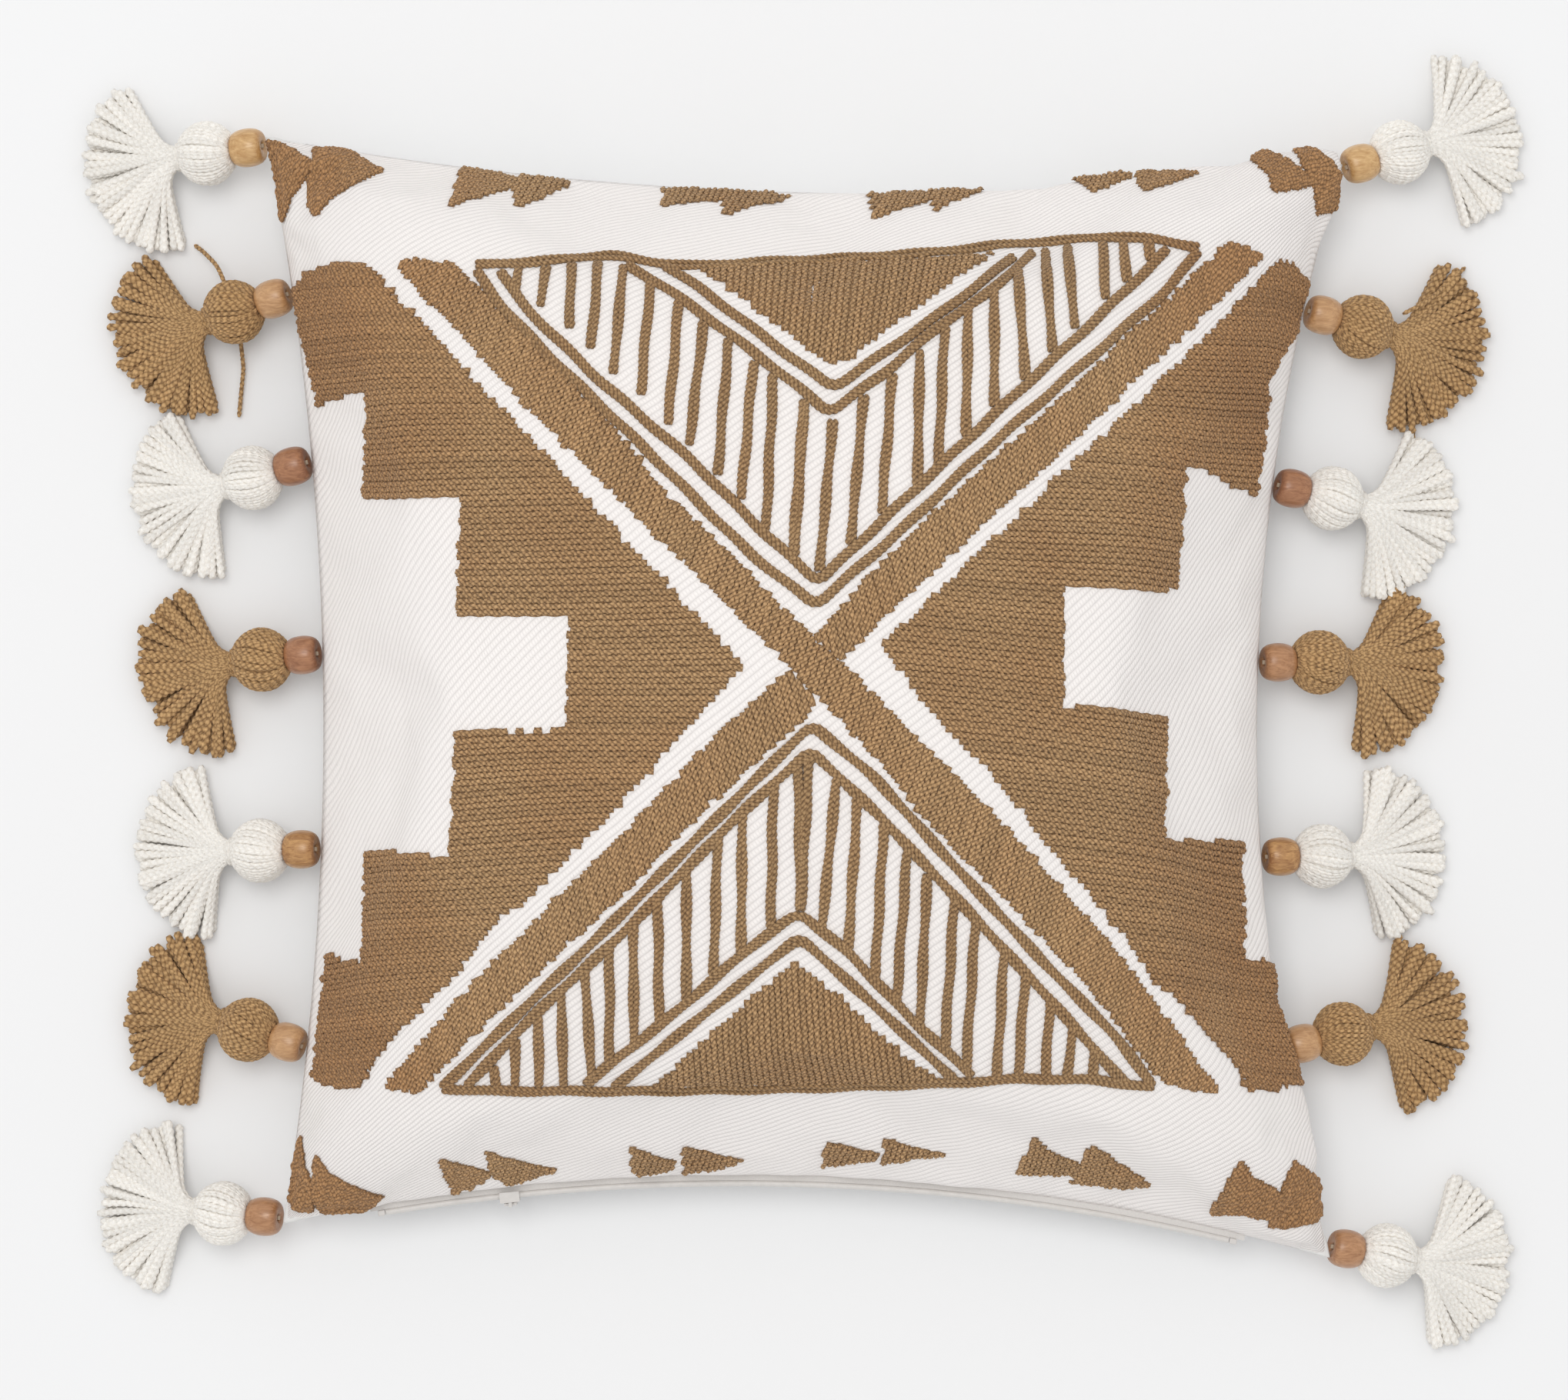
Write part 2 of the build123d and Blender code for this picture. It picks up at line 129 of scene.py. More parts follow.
def plus(tree, first, second):
    return mathNode(tree, "ADD", first, second)


def humps(tree, value):
    # one smooth hump from 0 to 1 and back for each whole step of the value
    wave = mathNode(tree, "SINE", times(tree, mathNode(tree, "FRACT", value), math.pi))
    return mathNode(tree, "MAXIMUM", wave, 0.0)


def noiseOf(tree, vector, scale, detail):
    return addNode(tree, "TexNoise", {"Vector": vector, "Scale": scale, "Detail": detail}).outputs[0]


def mapRange(tree, value, low, high, first, last):
    return addNode(tree, "MapRange", {0: value, 1: low, 2: high, 3: first, 4: last}).outputs[0]


def stretch(tree, vector, scale, turn=0.0):
    return addNode(tree, "Mapping", {"Vector": vector, "Rotation": (0, 0, turn), "Scale": scale}).outputs[0]


def bumpOf(tree, strength, distance, height):
    return addNode(tree, "Bump", {"Strength": strength, "Distance": distance, "Height": height}).outputs[0]


def mixColour(tree, factor, first, second, blend="MIX"):
    return addNode(tree, "Mix", {0: factor, 6: first, 7: second}, data_type="RGBA", blend_type=blend).outputs[2]


def shaded(tree, colour, shade):
    grey = addNode(tree, "CombineColor", {0: shade, 1: shade, 2: shade}).outputs[0]
    return mixColour(tree, 1.0, colour, grey, "MULTIPLY")


def clothPlace(tree):
    return addNode(tree, "UVMap", uv_map="cloth").outputs[0]


def objectPlace(tree):
    return addNode(tree, "TexCoord").outputs["Object"]


def surfaceValue(tree, name):
    return addNode(tree, "Attribute", attribute_name=name).outputs["Fac"]


def linkAll(tree, sockets, values):
    for label, value in values.items():
        tree.links.new(value, sockets[label])


def yarnFibreGroup():
    # twisted wool or cotton: painted shade in the grooves between plies and between slanted strands, slow tint drift
    group, given, result = newGroup(
        "yarnFibre",
        [("Colour", "Color", (0.5, 0.4, 0.3, 1)), ("Groove Shade Colour", "Color", (0.2, 0.1, 0.05, 1)),
         ("Drift Colour", "Color", (0.5, 0.3, 0.2, 1)), ("Drift", "Float", 0.3), ("Groove", "Float", 0.6),
         ("Fuzz", "Float", 0.5), ("Aside", "Float", 0.0), ("Twist", "Float", 0.6), ("Twist Pitch", "Float", 0.002)],
        [("Colour", "Color"), ("Normal", "Vector"), ("Roughness", "Float")])
    cloth = clothPlace(group)
    where = objectPlace(group)
    fibres = noiseOf(group, stretch(group, cloth, (900, 4200, 1), 0.6), 1.0, 3.0)
    cloud = noiseOf(group, where, 22.0, 3.0)
    specks = noiseOf(group, where, 1400.0, 2.0)
    # tint drift, stronger towards the left and right edges
    drift = times(group, mapRange(group, cloud, 0.42, 0.68, 0.0, 1.0), given["Drift"])
    across = addNode(group, "SeparateXYZ", {0: where}).outputs[0]
    across = mathNode(group, "ABSOLUTE", mathNode(group, "SUBTRACT", across, 0.003))
    across = plus(group, across, times(group, cloud, 0.10))
    aside = times(group, mapRange(group, across, 0.165, 0.235, 0.0, 1.0), given["Aside"])
    drift = mathNode(group, "MAXIMUM", drift, aside)
    base = mixColour(group, drift, given["Colour"], given["Drift Colour"])
    # painted shade: the colour goes towards the groove colour where the ply lobes dip, and on pads and cores that
    # are given a low ply value
    grooveShade = mathNode(group, "POWER", mathNode(group, "SUBTRACT", 1.0, surfaceValue(group, "ply")), 1.6)
    base = mixColour(group, times(group, grooveShade, given["Groove"]), base, given["Groove Shade Colour"])
    # slanted strands wound round the yarn
    wound = addNode(group, "SeparateXYZ", {0: cloth}).outputs
    turn = mathNode(group, "DIVIDE", plus(group, wound[0], times(group, wound[1], 0.9)), given["Twist Pitch"])
    turn = plus(group, turn, times(group, noiseOf(group, where, 420.0, 2.0), 0.7))
    gap = mathNode(group, "SUBTRACT", 1.0, mathNode(group, "POWER", humps(group, turn), 0.6))
    # painted shade in the gaps between the slanted strands, as strong as Twist
    base = mixColour(group, times(group, gap, given["Twist"]), base, given["Groove Shade Colour"])
    shade = plus(group, times(group, fibres, 0.36), 0.80)
    shade = times(group, shade, plus(group, 0.86, times(group, surfaceValue(group, "tint"), 0.2)))
    shade = times(group, shade, mapRange(group, specks, 0.3, 0.75, 0.93, 1.08))
    height = plus(group, times(group, fibres, 0.6), times(group, specks, 0.7))
    height = mathNode(group, "SUBTRACT", height, times(group, gap, 0.9))
    linkAll(group, result, {
        "Colour": shaded(group, base, shade), "Normal": bumpOf(group, given["Fuzz"], 0.0006, height),
        "Roughness": mapRange(group, fibres, 0.2, 0.8, 0.72, 0.95)})
    return group


def twillGroup():
    # diagonal ribs of short floats, in the cloth's own coordinates; the Shade output is painted shade, darker in the
    # hollows between ribs
    group, given, result = newGroup(
        "twillWeave",
        [("Rib Pitch", "Float", 0.0021), ("Float Pitch", "Float", 0.0011), ("Angle", "Float", 0.6),
         ("Height", "Float", 0.5)],
        [("Shade", "Float"), ("Normal", "Vector")])
    cloth = clothPlace(group)
    wobble = addNode(group, "TexNoise", {"Vector": cloth, "Scale": 60.0, "Detail": 2.0}).outputs["Color"]
    wobble = addNode(group, "VectorMath", {0: wobble, 1: (0.5, 0.5, 0.5)}, operation="SUBTRACT").outputs[0]
    wobble = addNode(group, "VectorMath", {0: wobble, "Scale": 0.0016}, operation="SCALE").outputs[0]
    cloth = addNode(group, "VectorMath", {0: cloth, 1: wobble}, operation="ADD").outputs[0]
    turned = addNode(group, "VectorRotate", {"Vector": cloth, "Angle": given["Angle"]}, rotation_type="Z_AXIS")
    parts = addNode(group, "SeparateXYZ", {0: turned.outputs[0]}).outputs
    across = mathNode(group, "DIVIDE", parts[1], given["Rib Pitch"])
    along = mathNode(group, "DIVIDE", parts[0], given["Float Pitch"])
    along = plus(group, along, times(group, mathNode(group, "FLOOR", across), 0.37))
    rib = mathNode(group, "POWER", humps(group, across), 0.7)
    knuckle = mathNode(group, "POWER", humps(group, along), 0.5)
    height = times(group, rib, plus(group, 0.55, times(group, knuckle, 0.45)))
    height = plus(group, height, times(group, noiseOf(group, cloth, 900.0, 2.0), 0.35))
    linkAll(group, result, {
        "Shade": mapRange(group, height, 0.15, 1.1, 0.90, 1.02),
        "Normal": bumpOf(group, given["Height"], 0.0005, height)})
    return group


def woodGroup():
    # turned wood: fine grain along the bead's axis, end darkening and small pores
    group, given, result = newGroup(
        "turnedWood",
        [("Light", "Color", (0.7, 0.5, 0.3, 1)), ("Dark", "Color", (0.4, 0.2, 0.1, 1)), ("Seed", "Float", 0.0)],
        [("Colour", "Color"), ("Roughness", "Float"), ("Normal", "Vector")])
    moved = addNode(group, "VectorMath", {0: objectPlace(group), 1: given["Seed"]}, operation="ADD").outputs[0]
    grain = addNode(group, "TexNoise", {"Vector": stretch(group, moved, (70, 260, 260)), "Scale": 1.6,
                                        "Detail": 5.0, "Distortion": 1.4}).outputs[0]
    fine = stretch(group, moved, (400, 2200, 2200))
    streak = noiseOf(group, fine, 1.0, 3.0)
    pores = addNode(group, "TexVoronoi", {"Vector": fine, "Scale": 0.55}).outputs[0]
    pores = mapRange(group, pores, 0.02, 0.16, 1.0, 0.0)
    mask = plus(group, times(group, grain, 1.1), times(group, streak, 0.5))
    mask = mapRange(group, mask, 0.55, 1.1, 0.0, 1.0)
    mask = plus(group, mask, times(group, surfaceValue(group, "edge"), 0.55))
    mask = mathNode(group, "MINIMUM", plus(group, mask, times(group, pores, 0.35)), 1.0)
    linkAll(group, result, {
        "Colour": mixColour(group, mask, given["Light"], given["Dark"]),
        "Roughness": mapRange(group, grain, 0.3, 0.7, 0.30, 0.46),
        "Normal": bumpOf(group, 0.25, 0.0002, mathNode(group, "SUBTRACT", streak, pores))})
    return group


yarnFibre = yarnFibreGroup()
twillWeave = twillGroup()
turnedWood = woodGroup()


def emptyMaterial(name, viewColour):
    material = bpy.data.materials.new(name)
    material.use_nodes = True
    material.diffuse_color = viewColour
    tree = material.node_tree
    return material, tree, tree.nodes["Principled BSDF"].inputs


def setAll(sockets, values):
    for label, value in values.items():
        sockets[label].default_value = value


def groupIn(tree, group, values):
    node = addNode(tree, "Group", node_tree=group)
    setAll(node.inputs, values)
    return node.outputs


def linkFinish(tree, shader, found):
    linkAll(tree, shader, {"Base Color": found["Colour"], "Roughness": found["Roughness"],
                           "Normal": found["Normal"]})


def yarnMaterial(name, s):
    material, tree, shader = emptyMaterial(name, s["Colour"])
    linkFinish(tree, shader, groupIn(tree, yarnFibre, s))
    setAll(shader, {"Sheen Weight": 0.08, "Sheen Roughness": 0.5, "Specular IOR Level": 0.2})
    return material


def twillMaterial(name, colour, warm, s):
    material, tree, shader = emptyMaterial(name, colour)
    found = groupIn(tree, twillWeave, s)
    base = mixColour(tree, noiseOf(tree, objectPlace(tree), 9.0, 2.0), colour, warm)
    linkAll(tree, shader, {"Base Color": shaded(tree, base, found["Shade"]), "Normal": found["Normal"]})
    setAll(shader, {"Roughness": 0.85, "Sheen Weight": 0.15, "Specular IOR Level": 0.2})
    return material


def woodMaterial(name, light, dark, seed):
    material, tree, shader = emptyMaterial(name, light)
    linkFinish(tree, shader, groupIn(tree, turnedWood, {"Light": light, "Dark": dark, "Seed": seed}))
    setAll(shader, {"Coat Weight": 0.35, "Coat Roughness": 0.25})
    return material


# each groove colour below is painted shade for the grooves between plies and strands
brownWool = yarnMaterial("brownWool", {
    "Colour": (0.68, 0.43, 0.215, 1), "Groove Shade Colour": (0.20, 0.10, 0.04, 1),
    "Drift Colour": (0.57, 0.305, 0.135, 1),
    "Drift": 0.35, "Groove": 0.6, "Fuzz": 0.9, "Aside": 0.9, "Twist": 0.85, "Twist Pitch": 0.0022})
brownYarn = yarnMaterial("brownYarn", {
    "Colour": (0.72, 0.455, 0.215, 1), "Groove Shade Colour": (0.22, 0.11, 0.04, 1),
    "Drift Colour": (0.60, 0.36, 0.155, 1),
    "Drift": 0.4, "Groove": 0.8, "Fuzz": 0.8, "Aside": 0.0, "Twist": 0.85, "Twist Pitch": 0.0032})
whiteYarn = yarnMaterial("whiteYarn", {
    "Colour": (0.99, 0.96, 0.91, 1), "Groove Shade Colour": (0.90, 0.84, 0.75, 1),
    "Drift Colour": (0.98, 0.94, 0.88, 1),
    "Drift": 0.3, "Groove": 0.4, "Fuzz": 0.5, "Aside": 0.0, "Twist": 0.6, "Twist Pitch": 0.0032})
coverTwill = twillMaterial("coverTwill", (0.94, 0.893, 0.868, 1), (0.95, 0.905, 0.875, 1), {
    "Rib Pitch": 0.0023, "Float Pitch": 0.0012, "Angle": -0.66, "Height": 0.8})
plainCotton = twillMaterial("plainCotton", (0.86, 0.85, 0.83, 1), (0.88, 0.87, 0.85, 1), {
    "Rib Pitch": 0.0008, "Float Pitch": 0.0008, "Angle": 0.0, "Height": 0.4})
print("materials ready")

cushion = {
    "corners": {"tl": (-0.212, 0.223), "tr": (0.222, 0.212), "br": (0.217, -0.229), "bl": (-0.205, -0.215)},
    "pull": {"left": 0.0195, "right": 0.032, "top": 0.017, "bottom": 0.026},
    "seamZ": 0.024,
    "crown": 0.098,
    "fullness": 0.72,
    "edgeAngle": 1.351,
    "restLevel": 0.5,
    "cells": 96,
    "flat": 0.457,
    "frames": 12,
    "pressure": 3.0,
    "mostMove": 0.009,      # the inflation moves no point further than this
    "restZ": 0.0006,
    "fabric": 0.0009,
}


def bowedEdge(start, end, pull, share):
    start = np.array(start)
    end = np.array(end)
    chord = np.linalg.norm(end - start)
    radius = (chord * chord / 4 + pull * pull) / (2 * pull)
    turn = (2 * share - 1) * math.asin(chord / 2 / radius)
    along = radius * np.sin(turn) + chord / 2
    depth = radius * np.cos(turn) - (radius - pull)
    unit = (end - start) / chord
    normal = np.array([-unit[1], unit[0]])
    return start + along[..., None] * unit + depth[..., None] * normal


def planPoints(across, up):
    c = cushion["corners"]
    p = cushion["pull"]
    left = bowedEdge(c["tl"], c["bl"], p["left"], 1 - up)
    right = bowedEdge(c["br"], c["tr"], p["right"], up)
    bottom = bowedEdge(c["bl"], c["br"], p["bottom"], across)
    top = bowedEdge(c["tr"], c["tl"], p["top"], 1 - across)
    a = across[..., None]
    u = up[..., None]
    corners = ((1 - a) * (1 - u) * np.array(c["bl"]) + a * (1 - u) * np.array(c["br"])
               + (1 - a) * u * np.array(c["tl"]) + a * u * np.array(c["tr"]))
    return (1 - a) * left + a * right + (1 - u) * bottom + u * top - corners


def cushionStart(cells):
    steps = np.linspace(-1, 1, cells + 1)
    k = cushion["edgeAngle"]
    reach = np.sin(k * steps) / math.sin(k)
    rise = (np.cos(k * steps) - math.cos(k)) / (1 - math.cos(k))
    acrossReach, upReach = np.meshgrid(reach, reach, indexing="ij")
    level = np.clip(np.outer(rise, rise), 0, 1)
    plan = planPoints(0.5 + acrossReach / 2, 0.5 + upReach / 2)
    top = cushion["seamZ"] + cushion["crown"] * level ** cushion["fullness"]
    low = cushion["seamZ"] * (1 - np.minimum(1, level / cushion["restLevel"]) ** 0.75)
    front = np.dstack([plan, top])
    back = np.dstack([plan, low])
    return front, back


def gridQuads(index, flip):
    quads = np.stack([index[:-1, :-1], index[1:, :-1], index[1:, 1:], index[:-1, 1:]], -1).reshape(-1, 4)
    return quads[:, ::-1] if flip else quads


def sewnForm(front, back):
    # one closed skin of two panels that share their edge
    index = np.arange(front[..., 0].size).reshape(front.shape[:2])
    inner = np.zeros_like(index, bool)
    inner[1:-1, 1:-1] = True
    backIndex = index.copy()
    backIndex[inner] = index.size + np.arange(inner.sum())
    points = np.vstack([front.reshape(-1, 3), back[inner]])
    quads = np.vstack([gridQuads(index, False), gridQuads(backIndex, True)])
    return points, quads, index, backIndex, inner


def inflate(front, back):
    # the two panels, sewn at the seam, are blown up a little and left to pucker
    points, quads, index, backIndex, inner = sewnForm(front, back)
    blank = bpy.data.materials.new("blank")
    trial = meshPiece("inflating", points, quads, blank)
    pins = trial.vertex_groups.new(name="seam")
    pins.add(index[~inner].ravel().tolist(), 1.0, "REPLACE")
    cloth = trial.modifiers.new("cloth", "CLOTH")
    s = cloth.settings
    s.quality = 6
    s.mass = 0.15
    s.tension_stiffness = s.compression_stiffness = 30
    s.shear_stiffness = 12
    s.bending_stiffness = 4
    s.air_damping = 3
    s.use_pressure = True
    s.uniform_pressure_force = cushion["pressure"]
    s.vertex_group_mass = "seam"
    s.shrink_min = -0.012
    s.effector_weights.gravity = 0
    cloth.collision_settings.use_collision = False
    cloth.point_cache.frame_end = cushion["frames"]
    scene = bpy.context.scene
    for number in range(1, cushion["frames"] + 1):
        scene.frame_set(number)
    solved = trial.evaluated_get(bpy.context.evaluated_depsgraph_get()).data
    found = np.empty(len(solved.vertices) * 3, np.float32)
    solved.vertices.foreach_get("co", found)
    found = found.reshape(-1, 3).astype(float)
    scene.frame_set(1)
    bpy.data.objects.remove(trial)
    bpy.data.materials.remove(blank)
    limit = cushion["mostMove"]
    return tuple(start + np.clip(found[at] - start, -limit, limit)
                 for start, at in ((front, index), (back, backIndex)))


front, back = cushionStart(cushion["cells"])
front, back = inflate(front, back)
back[..., 2] = np.maximum(back[..., 2], cushion["restZ"])


# how far the full front rolls out over the seam, against the reach along that edge
roll = {
    "top": [(-1, 0), (0, 0.0015), (0.31, 0.0045), (0.45, 0.0085), (0.62, 0.0088), (0.72, 0.0105), (0.86, 0.0125),
            (0.95, 0.009), (1, 0.004)],
    "right": [(-1, 0), (-0.8, 0.002), (-0.68, 0.0075), (-0.56, 0.008), (-0.4, 0.002), (0.7, 0.001), (0.77, 0.0065),
              (0.88, 0.008), (0.97, 0.004), (1, 0.002)],
    "bottom": [(-1, 0), (-0.7, 0.003), (0.2, 0.003), (0.35, 0), (0.7, 0), (0.85, 0.002), (1, 0)],
}


def rollOut(front, s):
    steps = np.linspace(-1, 1, len(front))
    across, up = np.meshgrid(steps, steps, indexing="ij")
    lifted = np.clip((front[..., 2] - cushion["seamZ"]) / 0.005, 0, 1)

    def shift(side, along, depth):
        return np.interp(along, *zip(*s[side])) * np.clip((depth - 0.4) / 0.5, 0, 1) * lifted
    front[..., 1] += shift("top", across, up) - shift("bottom", across, -up)
    front[..., 0] += shift("right", up, across)
    return front


front = rollOut(front, roll)
print("cushion inflated, crown", round(float(front[..., 2].max()), 4))


def cubicWeights(t):
    return np.stack([-0.5 * t + t ** 2 - 0.5 * t ** 3, 1 - 2.5 * t ** 2 + 1.5 * t ** 3,
                     0.5 * t + 2 * t ** 2 - 1.5 * t ** 3, -0.5 * t ** 2 + 0.5 * t ** 3], -1)


def onPanel(grid, x, y):
    # smooth place on a panel for cloth coordinates in metres from its middle
    cells = len(grid) - 1
    gx = np.clip((x / cushion["flat"] + 0.5) * cells, 0, cells - 1e-6)
    gy = np.clip((y / cushion["flat"] + 0.5) * cells, 0, cells - 1e-6)
    ix = np.floor(gx).astype(int)
    iy = np.floor(gy).astype(int)
    wx = cubicWeights(gx - ix)
    wy = cubicWeights(gy - iy)
    total = np.zeros(x.shape + (3,))
    for i in range(4):
        for j in range(4):
            corner = grid[np.clip(ix + i - 1, 0, cells), np.clip(iy + j - 1, 0, cells)]
            total += corner * (wx[..., i] * wy[..., j])[..., None]
    return total


def panelNormals(grid):
    alongX = np.gradient(grid, axis=0)
    alongY = np.gradient(grid, axis=1)
    normal = np.cross(alongX, alongY)
    return normal / np.maximum(np.linalg.norm(normal, axis=-1, keepdims=True), 1e-9)


frontNormals = panelNormals(front)


def panelPiece(name, grid, flip, material):
    cells = len(grid) - 1
    index = np.arange((cells + 1) ** 2).reshape(cells + 1, cells + 1)
    steps = np.linspace(-0.5, 0.5, cells + 1) * cushion["flat"]
    uvs = np.stack(np.meshgrid(steps, steps, indexing="ij"), -1).reshape(-1, 2)
    piece = meshPiece(name, grid.reshape(-1, 3), gridQuads(index, flip), material, uvs=uvs)
    fine = piece.modifiers.new("fine", "SUBSURF")
    fine.levels = fine.render_levels = 1
    thick = piece.modifiers.new("fabric", "SOLIDIFY")
    thick.thickness = cushion["fabric"]
    thick.offset = -1
    return piece


coverFront = panelPiece("coverFront", front, False, coverTwill)
coverBack = panelPiece("coverBack", back, True, plainCotton)
for piece, node in ((coverFront, "front_panel"), (coverBack, "back_panel")):
    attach(piece, "cushion")
    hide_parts(node)


# sizes as shares of the cushion's own
insert = {"cells": 48, "width": 0.90, "crown": 0.92, "depth": 0.88}


def insertPiece():
    # the inner pad, a smaller copy of the cushion's form
    s = insert
    top, low = cushionStart(s["cells"])
    middle = top.mean(axis=(0, 1))[:2]
    top[..., :2] = middle + (top[..., :2] - middle) * s["width"]
    low[..., :2] = top[..., :2]
    seamZ = cushion["seamZ"]
    top[..., 2] = seamZ + (top[..., 2] - seamZ) * s["crown"]
    low[..., 2] = seamZ + (low[..., 2] - seamZ) * s["depth"]
    points, quads = sewnForm(top, low)[:2]
    return meshPiece("insertCase", points, quads, plainCotton, uvs=points[:, :2])


insertCase = insertPiece()
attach(insertCase, "cushion")
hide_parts("insert_cover", "insert_filling")
print("cover and insert ready")


def tubeQuads(index):
    # faces between rings of points, each ring closed on itself
    nxt = np.roll(index, -1, axis=1)
    return np.stack([index[:-1], nxt[:-1], nxt[1:], index[1:]], -1).reshape(-1, 4)


def unitRows(vectors):
    return vectors / np.maximum(np.linalg.norm(vectors, axis=-1, keepdims=True), 1e-9)


class YarnBatch:
    # collects many two-ply yarns and turns them into one mesh
    def __init__(self, sides=8):
        self.sides = sides
        self.points = []
        self.quads = []
        self.uvs = []
        self.ply = []
        self.tint = []
        self.ends = []
        self.count = 0          # points so far

    def lay(self, path, up, radius, pitch, phase=0.0, tint=0.5, squash=1.0, taper=1.0):
        path = np.asarray(path, float)
        n = len(path)
        if n < 3:
            return
        tangent = unitRows(np.gradient(path, axis=0))
        up = np.broadcast_to(np.asarray(up, float), path.shape)
        side = unitRows(np.cross(tangent, up))
        top = np.cross(side, tangent)
        travel = np.concatenate([[0], np.cumsum(np.linalg.norm(np.diff(path, axis=0), axis=1))])
        spin = travel / pitch * 2 * math.pi + phase
        angle = np.linspace(0, 2 * math.pi, self.sides, endpoint=False)
        lobe = 0.5 + 0.5 * np.cos(2 * (angle[None, :] - spin[:, None]))
        profile = 0.66 + 0.34 * lobe ** 0.7
        ends = travel[-1] - travel if taper == 0.0 else np.minimum(travel, travel[-1] - travel)
        profile = profile * np.minimum(1, ends[:, None] / (np.max(radius) * 1.1) + 0.35) ** 0.6
        r = np.reshape(radius, (-1, 1)) * profile
        rim = (path[:, None, :] + (r * np.cos(angle))[..., None] * side[:, None, :]
               + (r * np.sin(angle) * squash)[..., None] * top[:, None, :])
        self.points.append(rim.reshape(-1, 3))
        index = self.count + np.arange(n * self.sides).reshape(n, self.sides)
        self.quads.append(tubeQuads(index))
        cloth = np.broadcast_arrays(travel[:, None] + tint, (angle * np.max(radius))[None, :])
        self.uvs.append(np.stack(cloth, -1).reshape(-1, 2))
        self.ply.append(lobe.ravel())
        self.tint.append(np.full(n * self.sides, tint))
        self.ends += [index[0][::-1], index[-1]]
        self.count += n * self.sides

    def pad(self, path, up, width):
        # a flat strip under a row, so that no cloth shows between the rows; its low ply value gives it painted
        # shade, dark as the grooves
        side = unitRows(np.cross(np.gradient(path, axis=0), up))
        n = len(path)
        strip = np.stack([path - side * width, path + side * width], 1)
        index = self.count + np.arange(2 * n).reshape(n, 2)
        self.add(strip, np.stack([index[:-1, 0], index[:-1, 1], index[1:, 1], index[1:, 0]], -1), 0.1)

    def core(self, rings):
        # a closed tube through rings of points, inside a bundle; its low ply value gives it painted shade where it
        # shows between the strands
        n, sides = rings.shape[:2]
        index = self.count + np.arange(n * sides).reshape(n, sides)
        self.ends += [index[0][::-1], index[-1]]
        self.add(rings, tubeQuads(index), 0.25)

    def add(self, points, quads, ply):
        total = points.shape[0] * points.shape[1]
        self.points.append(points.reshape(-1, 3))
        self.quads.append(quads)
        self.uvs.append(points.reshape(-1, 3)[:, :2])
        self.ply.append(np.full(total, ply))
        self.tint.append(np.full(total, 0.4))
        self.count += total

    def piece(self, name, material):
        values = {"ply": np.concatenate(self.ply), "tint": np.concatenate(self.tint)}
        return meshPiece(name, np.vstack(self.points), np.vstack(self.quads), material,
                         uvs=np.vstack(self.uvs), values=values, ends=self.ends)


# outlines are in millimetres over the table, as seen from the camera and brought to the seam's height
wool = {
    "rowPitch": 0.0018, "radius": 0.00132, "lift": 0.0005, "step": 0.0008, "plyPitch": 0.0056,
    "squash": 0.7,
    "ragged": 0.0005,           # how far the ends of rows miss the outline
    "sway": 0.0006, "shiver": 0.00016, "swell": 0.00022,
    "padLift": 0.0003, "padWidth": 0.85,
    "line": 0.0015, "linePly": 0.0050, "lineSquash": 0.85, "lineSway": 0.0003, "lineTint": -0.5,
}


def asSeen(points):
    c = np.array(cameraSettings["centre"])
    scale = (cameraSettings["height"] - cameraSettings["seamZ"]) / (cameraSettings["height"] - points[..., 2])
    return c + (points[..., :2] - c) * scale[..., None]


def clothUnder(seen):
    # cloth coordinates whose seen place is the one asked for, by Newton steps
    cloth = seen * 1.1
    for _ in range(14):
        here = asSeen(onPanel(front, cloth[:, 0], cloth[:, 1]))
        e = 0.0005
        dx = (asSeen(onPanel(front, cloth[:, 0] + e, cloth[:, 1])) - here) / e
        dy = (asSeen(onPanel(front, cloth[:, 0], cloth[:, 1] + e)) - here) / e
        miss = seen - here
        det = dx[:, 0] * dy[:, 1] - dx[:, 1] * dy[:, 0]
        det = np.where(np.abs(det) < 0.02, 0.02, det)
        step = np.stack([(miss[:, 0] * dy[:, 1] - miss[:, 1] * dy[:, 0]) / det,
                         (dx[:, 0] * miss[:, 1] - dx[:, 1] * miss[:, 0]) / det], -1)
        cloth = np.clip(cloth + np.clip(step, -0.02, 0.02), -0.226, 0.226)
    return cloth


def inside(outline, points):
    outline = [(x * mm, y * mm) for x, y in outline]
    x = points[..., 0]
    y = points[..., 1]
    found = np.zeros(x.shape, bool)
    for (x0, y0), (x1, y1) in zip(outline, outline[1:] + outline[:1]):
        crosses = (y0 > y) != (y1 > y)
        found ^= crosses & (x < (x1 - x0) * (y - y0) / ((y1 - y0) or 1e-12) + x0)
    return found


def unitNormals(cloth):
    normal = onPanel(frontNormals, cloth[:, 0], cloth[:, 1])
    return normal / np.linalg.norm(normal, axis=1, keepdims=True)


